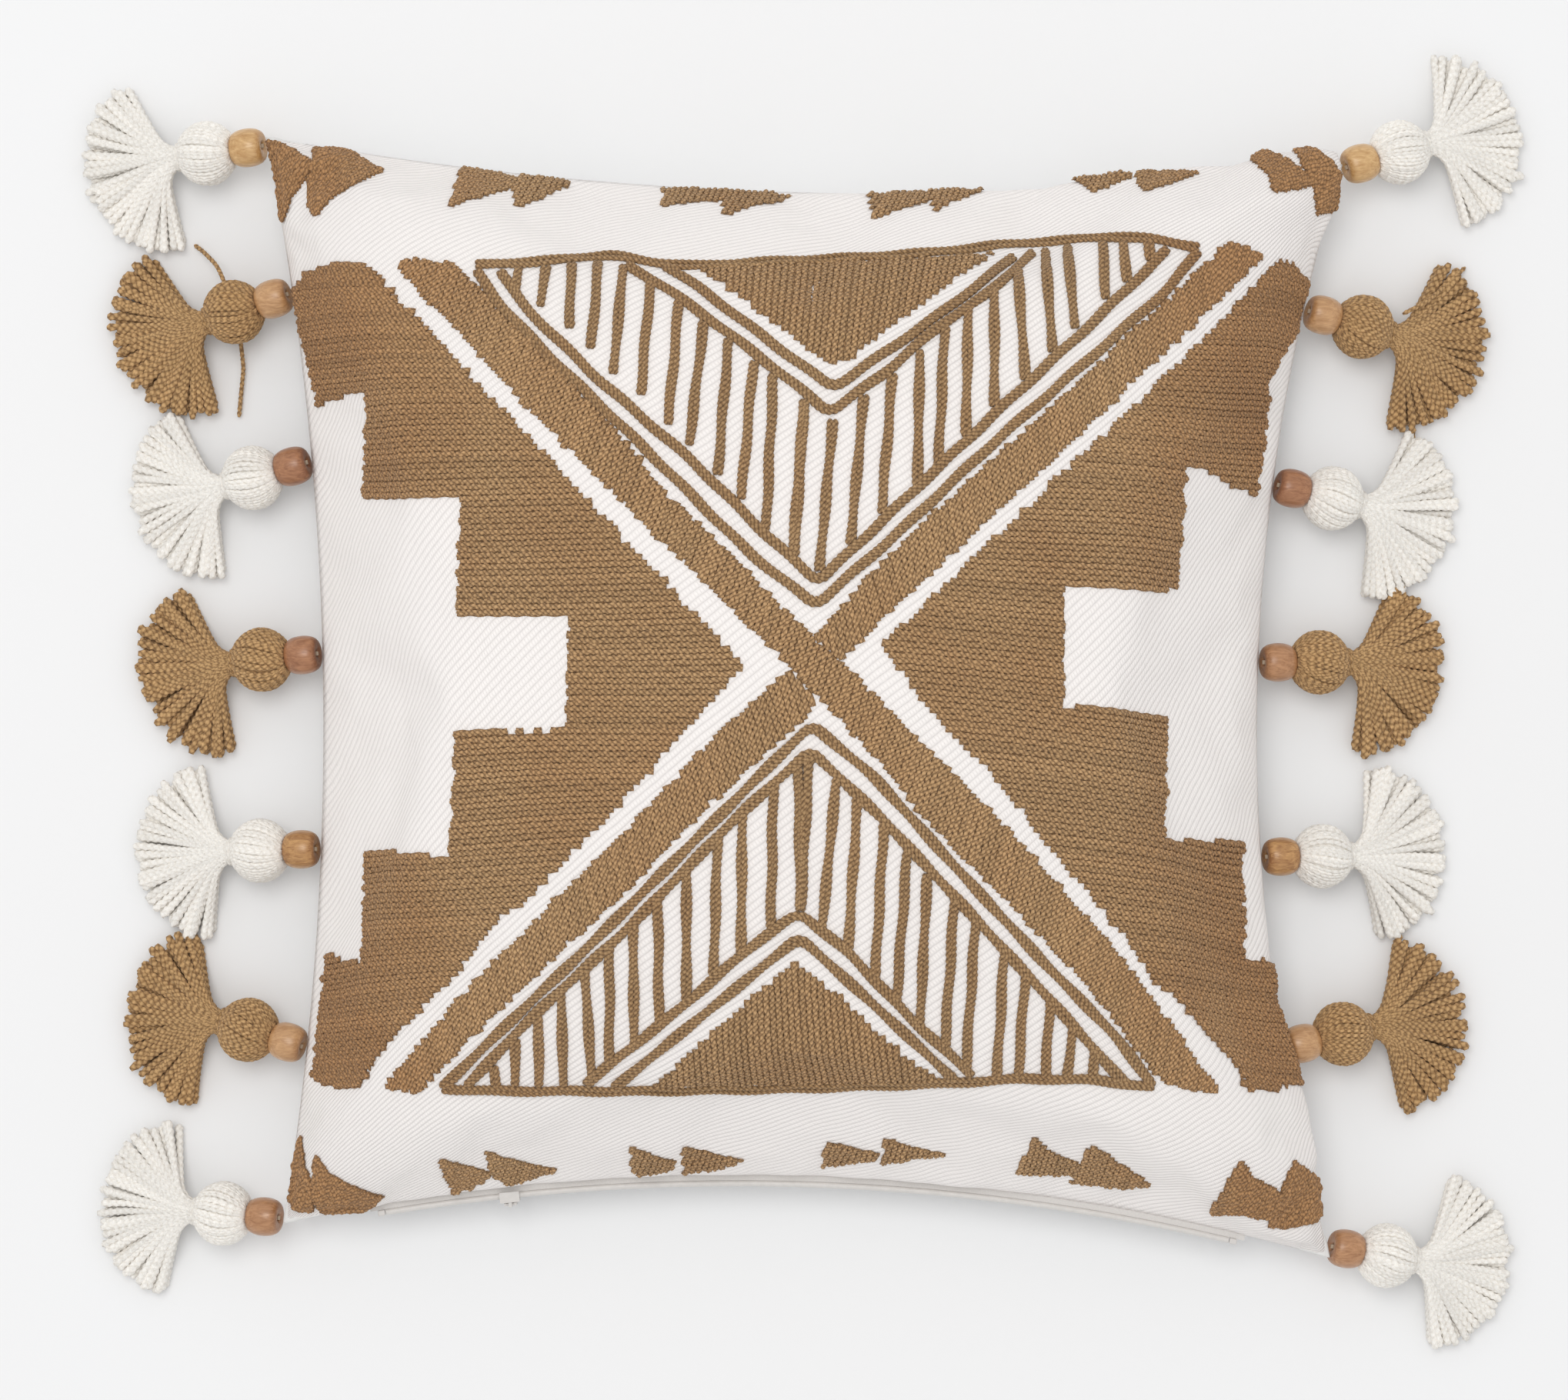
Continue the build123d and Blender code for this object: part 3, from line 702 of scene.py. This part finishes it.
def fillRegion(batch, keep, angle, pitch=None, radius=None, tone=0.5, span=0.33, ragged=None):
    # rows of yarn at an angle over the cloth, cut where the seen place leaves the region
    pitch = pitch or wool["rowPitch"]
    radius = radius or wool["radius"]
    ragged = wool["ragged"] if ragged is None else ragged
    direction = np.array([math.cos(angle), math.sin(angle)])
    sideways = np.array([-direction[1], direction[0]])
    along = np.arange(-span, span, wool["step"])
    for row in np.arange(-span, span, pitch):
        drift = wool["sway"] * np.sin(along * 37 + row * 60) + row + rng.normal(0, 0.00005)
        drift += wool["shiver"] * np.sin(along * rng.uniform(600, 900) + rng.uniform(0, 6))
        cloth = along[:, None] * direction + drift[:, None] * sideways
        ok = (np.abs(cloth) < cushion["flat"] / 2 * 0.992).all(axis=1)
        if not ok.any():
            continue
        cloth = cloth[ok]
        spot = onPanel(front, cloth[:, 0], cloth[:, 1])
        inRegion = keep(asSeen(spot) + rng.normal(0, ragged, 2))
        if not inRegion.any():
            continue
        normal = unitNormals(cloth)
        marks = np.flatnonzero(np.diff(np.concatenate([[0], inRegion.astype(int), [0]])))
        for first, last in marks.reshape(-1, 2):
            if last - first < 4:
                continue
            run = slice(first, last)
            wave = np.sin(np.arange(last - first) * rng.uniform(0.6, 1.1) + row * 5000)
            high = wool["lift"] + wool["swell"] * wave
            batch.lay(spot[run] + normal[run] * high[:, None], normal[run], radius,
                      wool["plyPitch"] * rng.uniform(0.9, 1.1), phase=rng.uniform(0, 6.3),
                      tint=tone + rng.uniform(-0.4, 0.4), squash=wool["squash"])
            batch.pad(spot[run] + normal[run] * wool["padLift"], normal[run], pitch * wool["padWidth"])


def lineOfYarn(batch, stops, strands=2, radius=None):
    # a line through the stops as the camera sees it, laid on the cloth
    stops = np.array(stops) * mm
    radius = radius or wool["line"]
    lengths = np.linalg.norm(np.diff(stops, axis=0), axis=1)
    marks = np.concatenate([[0], np.cumsum(lengths)])
    steps = np.arange(0, marks[-1], wool["step"])
    middle = np.stack([np.interp(steps, marks, stops[:, i]) for i in (0, 1)], -1)
    for axis in (0, 1):
        if len(middle) > 30:
            padded = np.pad(middle[:, axis], 6, mode="reflect", reflect_type="odd")
            middle[:, axis] = np.convolve(padded, np.ones(13) / 13, "valid")
    heading = unitRows(np.gradient(middle, axis=0))
    side = np.stack([-heading[:, 1], heading[:, 0]], -1)
    for k in range(strands):
        offset = (k - (strands - 1) / 2) * radius * 1.05
        wobble = wool["lineSway"] * np.sin(steps * 210 + rng.uniform(0, 6)) + offset
        cloth = clothUnder(middle + wobble[:, None] * side)
        spot = onPanel(front, cloth[:, 0], cloth[:, 1])
        normal = unitNormals(cloth)
        batch.lay(spot + normal * wool["lift"], normal, radius, wool["linePly"] * rng.uniform(0.9, 1.1),
                  phase=rng.uniform(0, 6.3), tint=wool["lineTint"] + rng.uniform(-0.3, 0.3),
                  squash=wool["lineSquash"])


def endWool(batch, name, node):
    piece = batch.piece(name, brownWool)
    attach(piece, "cushion")
    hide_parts(node)
    print(name, "has", len(piece.data.polygons), "faces")


crossSettings = {
    "falling": [(-160.5, 171), (-141, 151), (-108.5, 115.5), (-52.5, 59.5), (-2, 10), (20.5, -15), (39, -33.5),
         (51.5, -50.5), (88.5, -88), (115, -115.5), (150, -159), (169, -163), (172, -161.5), (146, -125),
         (129, -103.5), (90, -58.5), (65.5, -33.5), (28, 3.5), (-7.5, 38), (-52.5, 82.5), (-72.5, 107.5),
         (-102, 138), (-137.5, 173), (-155, 173.5)],
    "rising": [(168.5, 173.5), (175.5, 180), (183, 179.5), (190, 174), (164.5, 149.5), (118, 104.5), (73, 62.5),
         (22.5, 14.5), (6.5, -10.5), (-38.5, -52), (-68, -83), (-100.5, -112.5), (-145, -156), (-150, -163),
         (-163.5, -160.5), (-163.5, -158.5), (-130, -119), (-72.5, -61.5), (-32.5, -19.5), (-4.5, 6), (8.5, 23),
         (50, 65.5), (105.5, 115.5), (150.5, 157)],
    "fallingStitch": math.radians(70),
    "risingStitch": math.radians(108),
}


def makeCross(s):
    batch = YarnBatch()
    fillRegion(batch, lambda seen: inside(s["falling"], seen), s["fallingStitch"], tone=0.6)
    fillRegion(batch, lambda seen: inside(s["rising"], seen) & ~inside(s["falling"], seen),
               s["risingStitch"], tone=0.6)
    endWool(batch, "woolCross", "cross_bands")


fieldSettings = {
    "left": [(-203, 160.5), (-200.5, 163.5), (-195, 168), (-186, 171), (-172, 172), (-19, 10), (-68, -44.5),
         (-102, -80), (-117.5, -91.5), (-134.5, -114), (-165.5, -145), (-173.5, -160), (-180.5, -161),
         (-193.5, -157), (-187.5, -107), (-185, -107.5), (-173.5, -110.5), (-172, -66), (-138.5, -66),
         (-135.5, -17), (-91.5, -16), (-90.5, 31.5), (-135.5, 31), (-133.5, 80), (-173, 77), (-171, 121.5),
         (-190.5, 114.5)],
    "right": [(35, 17.5), (115.5, 93.5), (164.5, 140), (192.5, 169.5), (196.5, 172.5), (202, 171), (208, 163.5),
         (209, 151), (200, 138.5), (192, 123), (190.5, 98), (187.5, 79), (180, 81), (167.5, 87.5), (159, 88.5),
         (155.5, 41), (110, 43), (110, -7), (130.5, -7.5), (152, -11.5), (149.5, -60.5), (181.5, -63),
         (182.5, -109), (203.5, -111), (210.5, -160), (183, -161), (177, -150), (158.5, -128), (145, -117.5),
         (135, -100), (109.5, -71), (81, -35), (59, -12), (40, 11.5)],
    "rowAngle": {"left": math.radians(1.5), "right": math.radians(-1.5)},
}


def makeField(side):
    outline = fieldSettings[side]
    batch = YarnBatch()
    fillRegion(batch, lambda seen: inside(outline, seen), fieldSettings["rowAngle"][side], tone=0.4)
    endWool(batch, "woolField" + side.capitalize(), "side_field_" + side)


motifSettings = {
    "upper": {
        "node": "motif_upper", "stitch": math.radians(88),
        "heart": [(-38.5, 171), (17, 129.5), (59, 160.5), (81, 175.5), (28, 173.5)],
        "lines": [
            [(-127.5, 169), (-117.5, 155), (-99, 135.5), (-58.5, 96.5), (-17, 55), (9.5, 34), (43.5, 64),
             (79.5, 98), (129, 141.5), (152, 162), (164, 177.5)],
            [(-117.5, 169), (-108.5, 155), (-79, 126), (-40, 92), (-10.5, 62.5), (10.5, 43.5), (42, 73.5),
             (84, 113.5), (119.5, 146.5), (152, 178)],
            [(-127.5, 171), (-100.5, 172.5), (-72.5, 175), (-57, 172), (-38.5, 170.5), (-15.5, 172), (28, 174),
             (57.5, 176), (84, 179), (113.5, 181), (129, 182.5), (146, 181.5), (164.5, 178)],
            [(-67, 171), (-51, 162), (-26, 144), (0, 124), (15, 111.5), (39, 129), (59, 146.5), (77.5, 158.5),
             (98, 176.5)],
            [(-51.5, 171), (-35.5, 160.5), (-10.5, 141.5), (16.5, 121.5), (39, 137), (59, 151), (77.5, 165),
             (90, 175)]],
        "hatch": [(-110, 170.5), (-111.5, 160.5), (-99, 171), (-101.5, 154), (-89, 172), (-89.5, 145), (-78, 172.5),
             (-81, 137), (-68, 171), (-72, 127), (-57, 165), (-61, 118.5), (-45.5, 157), (-50, 106),
             (-35.5, 148.5), (-41.5, 98), (-25.5, 141.5), (-30, 86), (-15.5, 132.5), (-20.5, 76.5),
             (-7.5, 127.5), (-10.5, 64), (5, 117), (0, 51.5), (5, 117), (1, 53.5), (16.5, 109), (11, 47),
             (29, 119), (23.5, 58), (40.5, 127.5), (36, 70.5), (51.5, 137), (50.5, 81), (61.5, 146.5),
             (59, 90.5), (71, 154), (70, 101.5), (81.5, 162), (81.5, 113.5), (91, 169.5), (94, 124.5),
             (102, 177.5), (105, 135.5), (111, 179), (114, 145), (125, 180.5), (126.5, 157), (133.5, 181),
             (135, 163.5), (143.5, 181), (144.5, 172.5)]},
    "lower": {
        "node": "motif_lower", "stitch": math.radians(92),
        "heart": [(-57, -160), (0.5, -109), (17.5, -122), (48.5, -150), (60, -158)],
        "lines": [
            [(-141, -160.5), (-117.5, -137.5), (-80.5, -102), (-38.5, -60), (-7.5, -29), (8, -14), (33, -35),
             (65.5, -71), (102.5, -111), (129, -138), (146, -160)],
            [(-131.5, -160), (-105, -132), (-68, -98), (-21.5, -50.5), (7.5, -24.5), (34.5, -50), (70, -88),
             (105.5, -126.5), (129, -153), (135, -159)],
            [(-141, -160.5), (-124, -161.5), (-62, -161.5), (-3, -160.5), (59, -158.5), (93, -156.5),
             (121, -157), (146, -160)],
            [(-83.5, -159), (-46.5, -129.5), (-15.5, -102.5), (3, -89.5), (23.5, -106.5), (48.5, -133),
             (73, -155.5)],
            [(-72, -160.5), (-34, -129.5), (3, -99.5), (31, -125), (65.5, -157)]],
        "hatch": [(-120.5, -151.5), (-119, -160.5), (-111.5, -140.5), (-111.5, -160.5), (-102, -131), (-102, -160.5),
             (-93, -120.5), (-92, -160), (-83.5, -112.5), (-80.5, -158.5), (-73.5, -102), (-73.5, -152),
             (-64, -94), (-63.5, -145), (-54, -83), (-53.5, -136), (-42.5, -71), (-42.5, -126.5), (-30, -58.5),
             (-31.5, -115.5), (-20, -49), (-20.5, -107), (-7.5, -36.5), (-8.5, -97), (2.5, -29), (3.5, -88.5),
             (7, -26), (3.5, -89.5), (18, -35), (12, -96.5), (26.5, -43), (22.5, -105.5), (37, -53.5),
             (33.5, -116.5), (46.5, -64.5), (42, -126.5), (54.5, -74), (51.5, -136), (65.5, -83), (61.5, -145),
             (74, -92.5), (70, -153.5), (85.5, -105), (82.5, -157), (94, -114), (91, -157), (104, -125),
             (102, -157), (113.5, -134.5), (110.5, -157), (122.5, -143.5), (121, -157)]},
}


def makeMotif(key):
    s = motifSettings[key]
    batch = YarnBatch()
    fillRegion(batch, lambda seen: inside(s["heart"], seen), s["stitch"], pitch=0.0020, tone=0.35)
    for stops in s["lines"]:
        lineOfYarn(batch, stops)
    for first, last in zip(s["hatch"][::2], s["hatch"][1::2]):
        lineOfYarn(batch, [first, last], radius=0.00145)
    endWool(batch, "woolMotif" + key.capitalize(), s["node"])


# pairs of sawteeth, one behind the other, that point to the right
borderSettings = {
    "top": {"node": "border_row_top", "teeth": [
        [(-211.5, 221.5), (-205, 220), (-191.5, 212), (-196.5, 206), (-202, 197.5), (-205, 188), (-212, 208.5)],
        [(-192, 219), (-183.5, 220), (-163.5, 209), (-172, 206), (-186, 197.5), (-192, 190.5), (-194.5, 194.5),
         (-195, 203.5)],
        [(-132.5, 213), (-124, 210.5), (-110, 206), (-113, 201.5), (-124, 199), (-138, 194.5)],
        [(-110, 209), (-96, 207.5), (-83.5, 205), (-97.5, 200), (-111.5, 193), (-112, 201.5)],
        [(-51.5, 206), (-41.5, 204.5), (-27.5, 201.5), (-31, 196.5), (-43, 196), (-52.5, 194.5)],
        [(-28.5, 202), (-15.5, 202), (3.5, 198), (-15.5, 195), (-27.5, 190.5), (-29, 197.5)],
        [(30, 201), (42, 202), (56, 200.5), (54.5, 196.5), (43.5, 193.5), (33, 189.5)],
        [(56, 203.5), (64, 204.5), (82.5, 203.5), (71.5, 199), (57, 192.5), (55, 199)],
        [(108, 208), (112, 209), (137.5, 208.5), (136.5, 206), (127.5, 203), (120.5, 200), (117.5, 203.5)],
        [(138, 209.5), (165.5, 209), (158.5, 206), (142, 200.5), (139, 205)],
        [(181.5, 217.5), (191, 217.5), (198.5, 214.5), (209.5, 207), (209, 203), (194, 200), (192.5, 207)],
        [(202.5, 218.5), (209.5, 218.5), (217.5, 214), (222.5, 205), (222.5, 197.5), (219, 193), (211, 191.5),
         (210.5, 200.5)]]},
    "bottom": {"node": "border_row_bottom", "teeth": [
        [(-197.5, -179.5), (-196, -191.5), (-193.5, -198), (-193.5, -210.5), (-199, -210.5), (-205, -203.5)],
        [(-192, -186.5), (-187.5, -193.5), (-178, -199.5), (-164.5, -204), (-170.5, -209), (-186, -215),
         (-193.5, -205.5)],
        [(-143, -188.5), (-133, -191), (-121.5, -194), (-124, -198.5), (-136, -203.5)],
        [(-123, -185.5), (-114.5, -188.5), (-91.5, -193.5), (-100.5, -195.5), (-114.5, -200), (-121.5, -195)],
        [(-65.5, -182.5), (-57, -187), (-45, -190), (-49.5, -194), (-63.5, -196.5)],
        [(-44, -183.5), (-17.5, -189.5), (-31, -193.5), (-43, -195), (-44.5, -188.5)],
        [(14, -181.5), (36, -186.5), (34.5, -189.5), (12, -192.5)],
        [(37.5, -180), (48.5, -184), (66, -187), (51.5, -189), (36, -191.5)],
        [(98, -180), (104, -185.5), (117.5, -191), (115, -195.5), (90, -195.5)],
        [(121, -182.5), (129, -188.5), (146, -199.5), (133.5, -201), (112.5, -199)],
        [(181, -188.5), (184.5, -195), (197, -202.5), (195.5, -215), (181.5, -211.5), (168.5, -211.5)],
        [(202.5, -189.5), (208, -193.5), (215.5, -200), (217, -207), (211, -215), (198.5, -217.5),
         (191.5, -216.5)]]},
}


def makeBorder(key):
    s = borderSettings[key]
    batch = YarnBatch()
    for tooth in s["teeth"]:
        fillRegion(batch, lambda seen: inside(tooth, seen), math.radians(80), pitch=0.0017, radius=0.0012, tone=0.4,
                   ragged=0.0002)
    endWool(batch, "woolBorder" + key.capitalize(), s["node"])


makeCross(crossSettings)
makeField("left")
makeField("right")
makeMotif("upper")
makeMotif("lower")
makeBorder("top")
makeBorder("bottom")
print("embroidery ready")

tassel = {
    "beadGap": 0.0019, "beadLength": 0.0132, "beadRadius": 0.0078, "bore": 0.0012,
    "headGap": 0.0002, "headLength": 0.0215, "headRadius": 0.0126, "neckRadius": 0.0047, "headYarns": 50,
    "skirt": 0.0405, "yarnRadius": 0.00158, "plyPitch": 0.0060, "skirtSteps": 36,
    "layers": 3, "perLayer": 37, "fan": math.radians(76), "layerRise": 0.0021, "layerSpread": 0.0024,
    "headStrand": 0.00105, "headPly": 0.0052,
    "tieStrand": 0.0009, "tiePly": 0.0045, "tieTurns": 3.2, "tieLength": 0.0030,
    "tailStrand": 0.0010, "tailPly": 0.0040,
}
# heading of bead and head, heading of the skirt, wood tone
tasselPlaces = {
    "left": [(186, 200, "pale"), (197, 204, "tan"), (195, 197, "red"), (186, 198, "red"), (182, 184, "gold"),
             (164, 182, "tan"), (177, 176, "russet")],
    "right": [(17, 10, "pale"), (-15, -18, "tan"), (-13, -15, "red"), (0, -16, "russet"), (0, 5, "gold"),
              (12, 0, "tan"), (-11, -6, "russet")],
}
woodTones = {
    "pale": ((0.72, 0.47, 0.22, 1), (0.46, 0.24, 0.08, 1)),
    "tan": ((0.63, 0.37, 0.18, 1), (0.40, 0.20, 0.08, 1)),
    "red": ((0.45, 0.21, 0.10, 1), (0.24, 0.09, 0.035, 1)),
    "gold": ((0.58, 0.32, 0.12, 1), (0.27, 0.11, 0.03, 1)),
    "russet": ((0.52, 0.27, 0.13, 1), (0.30, 0.13, 0.05, 1)),
}
woods = {tone: woodMaterial("wood" + tone.capitalize(), light, dark, 3.1 * i)
         for i, (tone, (light, dark)) in enumerate(woodTones.items())}


def jointOf(name):
    return next(j for j in frame["joints"] if j["name"] == name)


def tasselFrame(name):
    spin = jointOf(name + "_bead_spin")
    seat = np.array(spin["pos_m"], float)
    along = np.array(spin["axis"], float)
    along /= np.linalg.norm(along)
    side = np.cross([0, 0, 1.0], along)
    side /= np.linalg.norm(side)
    return seat, along, side, np.cross(along, side)


def makeBead(name, seat, along, side, up, tone):
    s = tassel
    half = s["beadLength"] / 2
    turns = np.linspace(0, 2 * math.pi, 40, endpoint=False)
    # barrel with round shoulders, then the bore
    sweep = np.linspace(-1, 1, 27)
    barrel = [(half * math.sin(v), s["beadRadius"] * (0.52 + 0.48 * math.cos(v) ** 0.75))
              for v in sweep * 0.999 * math.pi / 2]
    lip = s["beadRadius"] * 0.34
    profile = barrel + [(half - 0.0001, lip), (half - 0.0007, s["bore"] * 1.1), (half - 0.002, s["bore"]),
                        (-half + 0.002, s["bore"]), (-half + 0.0007, s["bore"] * 1.1), (-half + 0.0001, lip)]
    middle = s["beadGap"] + half
    points = []
    edge = []
    for x, r in profile:
        for turn in turns:
            points.append(seat + along * (middle + x) + side * (r * math.cos(turn)) + up * (r * math.sin(turn)))
            edge.append(max(0.0, abs(x) / half - 0.72) * 3.0)
    index = np.arange(len(points)).reshape(len(profile), len(turns))
    quads = tubeQuads(np.vstack([index, index[:1]]))
    bead = meshPiece(name + "Wood", points, quads, woods[tone], values={"edge": edge})
    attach(bead, name + "_bead")
    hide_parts(name + "_bead")


def headRadius(share):
    s = tassel
    swell = np.sin(math.pi * np.clip(share, 0, 1) ** 0.95) ** 0.58
    low = 0.0034 + (s["neckRadius"] - 0.0034) * share
    return low + (s["headRadius"] - 0.0038) * swell


def makeTassel(name, seat, along, side, up, turn, brown, number):
    s = tassel
    batch = YarnBatch()
    start = s["beadGap"] + s["beadLength"] + s["headGap"]
    neck = start + s["headLength"]
    local = np.random.default_rng(number * 7 + 5)

    def place(x, y, z):
        return seat + np.multiply.outer(x, along) + np.multiply.outer(y, side) + np.multiply.outer(z, up)
    # head: fine strands laid from pole to pole round a full core
    steps = np.linspace(0.0, 1.0, 24)
    radii = headRadius(steps)
    x = start + steps * s["headLength"]
    turns = np.linspace(0, 2 * math.pi, 32, endpoint=False)
    batch.core(np.stack([place(np.full(32, xi), r * np.cos(turns), r * np.sin(turns))
                         for xi, r in zip(x, radii * 0.93)]))
    count = s["headYarns"]
    slant = 0.5 if number % 2 else 0.3
    for i in range(count):
        angle = 2 * math.pi * (i + local.normal(0, 0.2)) / count + slant * (steps - 0.5)
        r = radii * 0.95 * (1 + 0.012 * np.sin(steps * 9 + i))
        outward = place(np.zeros(24), np.cos(angle), np.sin(angle)) - seat
        batch.lay(place(x, r * np.cos(angle), r * np.sin(angle)), outward, s["headStrand"], s["headPly"],
                  phase=local.uniform(0, 6), tint=0.6 + local.uniform(-0.3, 0.3), taper=0.0)
    # the tie round the neck
    coil = np.linspace(0, s["tieTurns"] * 2 * math.pi, 110)
    r = s["neckRadius"] + 0.0004
    batch.lay(place(neck - 0.0008 + coil / coil[-1] * s["tieLength"], r * np.cos(coil), r * np.sin(coil)),
              place(np.zeros(110), np.cos(coil), np.sin(coil)) - seat, s["tieStrand"], s["tiePly"], tint=0.3)
    # skirt: a fan of yarns that spreads at once from the neck and settles to the table
    rings = s["skirtSteps"]
    steps = np.linspace(0.0, 1.0, rings)
    flatAlong = along * [1, 1, 0]
    flatAlong /= np.linalg.norm(flatAlong)
    root = seat + along * (neck + 0.0008)
    for layer in range(s["layers"]):
        count = s["perLayer"] - 3 * layer
        for i in range(count):
            share = (i + 0.5) / count * 2 - 1 + local.normal(0, 0.018)
            end = turn + s["fan"] * share
            length = s["skirt"] * (1 + local.normal(0, 0.03 if brown else 0.02)) * (1 - 0.03 * layer)
            length *= 1 - 0.10 * abs(share) ** 3
            heading = turn * 0.4 + (end - turn * 0.4) * np.minimum(1, steps * 3.2) ** 0.7
            heading += 0.22 * share * np.maximum(0, steps - 0.35) + local.normal(0, 0.05) * steps
            x = np.concatenate([[0], np.cumsum(np.cos(heading[:-1]) * length / (rings - 1))])
            y = np.concatenate([[0], np.cumsum(np.sin(heading[:-1]) * length / (rings - 1))])
            y = y + share * s["neckRadius"] * 0.8 + 0.0004 * np.sin(steps * (5 + local.uniform(0, 4)) + i) * steps
            flat = root + np.multiply.outer(x, flatAlong) + np.multiply.outer(y, side)
            rest = s["yarnRadius"] * 1.02 + (s["layers"] - 1 - layer) * s["layerRise"] + local.uniform(0, 0.0009)
            high = root[2] + (s["layers"] / 2 - layer) * s["layerSpread"] * (1 - 0.5 * share ** 2)
            fall = np.clip(steps * 1.15, 0, 1)
            fall = fall * fall * (3 - 2 * fall)
            flat[:, 2] = high * (1 - fall) + rest * fall
            thickness = s["yarnRadius"] * (1 + local.normal(0, 0.04)) * (0.5 + 0.72 * steps ** 0.8)
            batch.lay(flat, np.array([0, 0, 1.0]), thickness, s["plyPitch"] * local.uniform(0.9, 1.1),
                      phase=local.uniform(0, 6), tint=0.5 + local.uniform(-0.3, 0.3), taper=0.0)
    for stops in looseTails.get(name, []):
        stops = np.array(stops) * mm
        marks = np.linspace(0, 1, len(stops))
        fine = np.linspace(0, 1, 40)
        path = np.stack([np.interp(fine, marks, stops[:, i]) for i in range(3)], -1)
        path[3:-3] = sum(path[3 + d:37 + d] for d in range(-3, 4)) / 7
        batch.lay(path, np.array([0, 0, 1.0]), s["tailStrand"], s["tailPly"], tint=0.4)
    yarn = batch.piece(name + "Yarn", brownYarn if brown else whiteYarn)
    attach(yarn, name)
    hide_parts(name + "_yarn")


# long ends of the neck tie, in millimetres
looseTails = {
    "tassel_left_2": [[(-226, 156, 17), (-230, 166, 16), (-233, 172, 12), (-239, 178, 6), (-243, 181, 2)],
                      [(-224, 142, 6), (-223, 131, 3), (-224, 122, 2), (-225, 111, 2)]],
    "tassel_right_2": [[(247, 152, 17), (257, 157, 14), (264, 163, 8), (274, 172, 2)],
                       [(250, 126, 6), (252, 115, 3), (253, 101, 2)]],
}
for sideName, rows in tasselPlaces.items():
    for order, (heading, skirtHeading, tone) in enumerate(rows):
        name = "tassel_" + sideName + "_" + str(order + 1)
        seat, along, side, up = tasselFrame(name)
        makeBead(name, seat, along, side, up, tone)
        number = order + (10 if sideName == "right" else 0)
        makeTassel(name, seat, along, side, up, math.radians(skirtHeading - heading), order % 2 == 1, number)
print("tassels ready")


def plainMaterial(name, colour, grain, bump, rough):
    material, tree, shader = emptyMaterial(name, colour)
    noise = noiseOf(tree, objectPlace(tree), grain, 3.0)
    dark = tuple(c * 0.82 for c in colour[:3]) + (1,)
    linkAll(tree, shader, {
        "Base Color": mixColour(tree, noise, dark, colour), "Normal": bumpOf(tree, bump, 0.0002, noise),
        "Roughness": mapRange(tree, noise, 0.0, 1.0, rough - 0.08, rough + 0.08)})
    return material


keptNodes = {
    "seam_stitching": plainMaterial("seamThread", (0.80, 0.76, 0.73, 1), grain=1500, bump=0.6, rough=0.8),
    # painted shade: the zip colours are darkened to match the shaded cloth beside them
    "zip_tape_upper": plainMaterial("zipTape", (0.74, 0.71, 0.68, 1), grain=1800, bump=0.6, rough=0.8),
    "zip_coil": plainMaterial("zipNylon", (0.72, 0.69, 0.66, 1), grain=500, bump=0.2, rough=0.4),
    "zip_slider": plainMaterial("zipEnamel", (0.72, 0.69, 0.66, 1), grain=300, bump=0.1, rough=0.35),
}
keptNodes["zip_tape_lower"] = keptNodes["zip_tape_upper"]
keptNodes["zip_stops"] = keptNodes["zip_pull"] = keptNodes["zip_slider"]
# painted shade: the cord is a dark tan, like yarn in shade, so that it does not stand out by the beads
cordMaterial = plainMaterial("cordCotton", (0.50, 0.39, 0.28, 1), grain=900, bump=0.8, rough=0.85)
for node in frame["nodes"]:
    if node.endswith("_cord"):
        keptNodes[node] = cordMaterial
for node, material in keptNodes.items():
    data = frame["nodes"][node].data
    if data.materials:
        for slotIndex in range(len(data.materials)):
            data.materials[slotIndex] = material
    else:
        data.materials.append(material)

light = {"world": 0.76, "key": 0.31, "tone": (1.0, 0.995, 0.985), "place": (-0.5, 0.75, 3.6), "size": 2.2,
         "table": (0.885, 0.885, 0.888, 1), "tableSize": 8.0}


def makeStage(s):
    material, tree, shader = emptyMaterial("paleTable", (0.9, 0.9, 0.9, 1))
    setAll(shader, {"Base Color": s["table"], "Roughness": 0.9, "Specular IOR Level": 0.1})
    half = s["tableSize"] / 2
    corners = [(-half, -half, 0), (half, -half, 0), (half, half, 0), (-half, half, 0)]
    table = meshPiece("table", corners, [(0, 1, 2, 3)], material)
    world = bpy.data.worlds.new("studio")
    bpy.context.scene.world = world
    world.use_nodes = True
    background = world.node_tree.nodes["Background"]
    background.inputs[0].default_value = (0.99, 0.995, 1.0, 1)
    background.inputs[1].default_value = s["world"]
    lamp = bpy.data.lights.new("softKey", "AREA")
    lamp.shape = "DISK"
    lamp.size = s["size"]
    lamp.color = s["tone"]
    key = bpy.data.objects.new("softKey", lamp)
    key.location = s["place"]
    aim = -np.array(key.location)
    key.rotation_euler = (math.atan2(math.hypot(aim[0], aim[1]), -aim[2]), 0, math.atan2(aim[0], -aim[1]) + math.pi)
    distance = float(np.linalg.norm(aim))
    lamp.energy = s["key"] * math.pi ** 2 * distance ** 2 / (s["place"][2] / distance)
    bpy.context.scene.collection.objects.link(key)
    bpy.context.scene.view_settings.view_transform = "Standard"


makeStage(light)
print("stage ready")
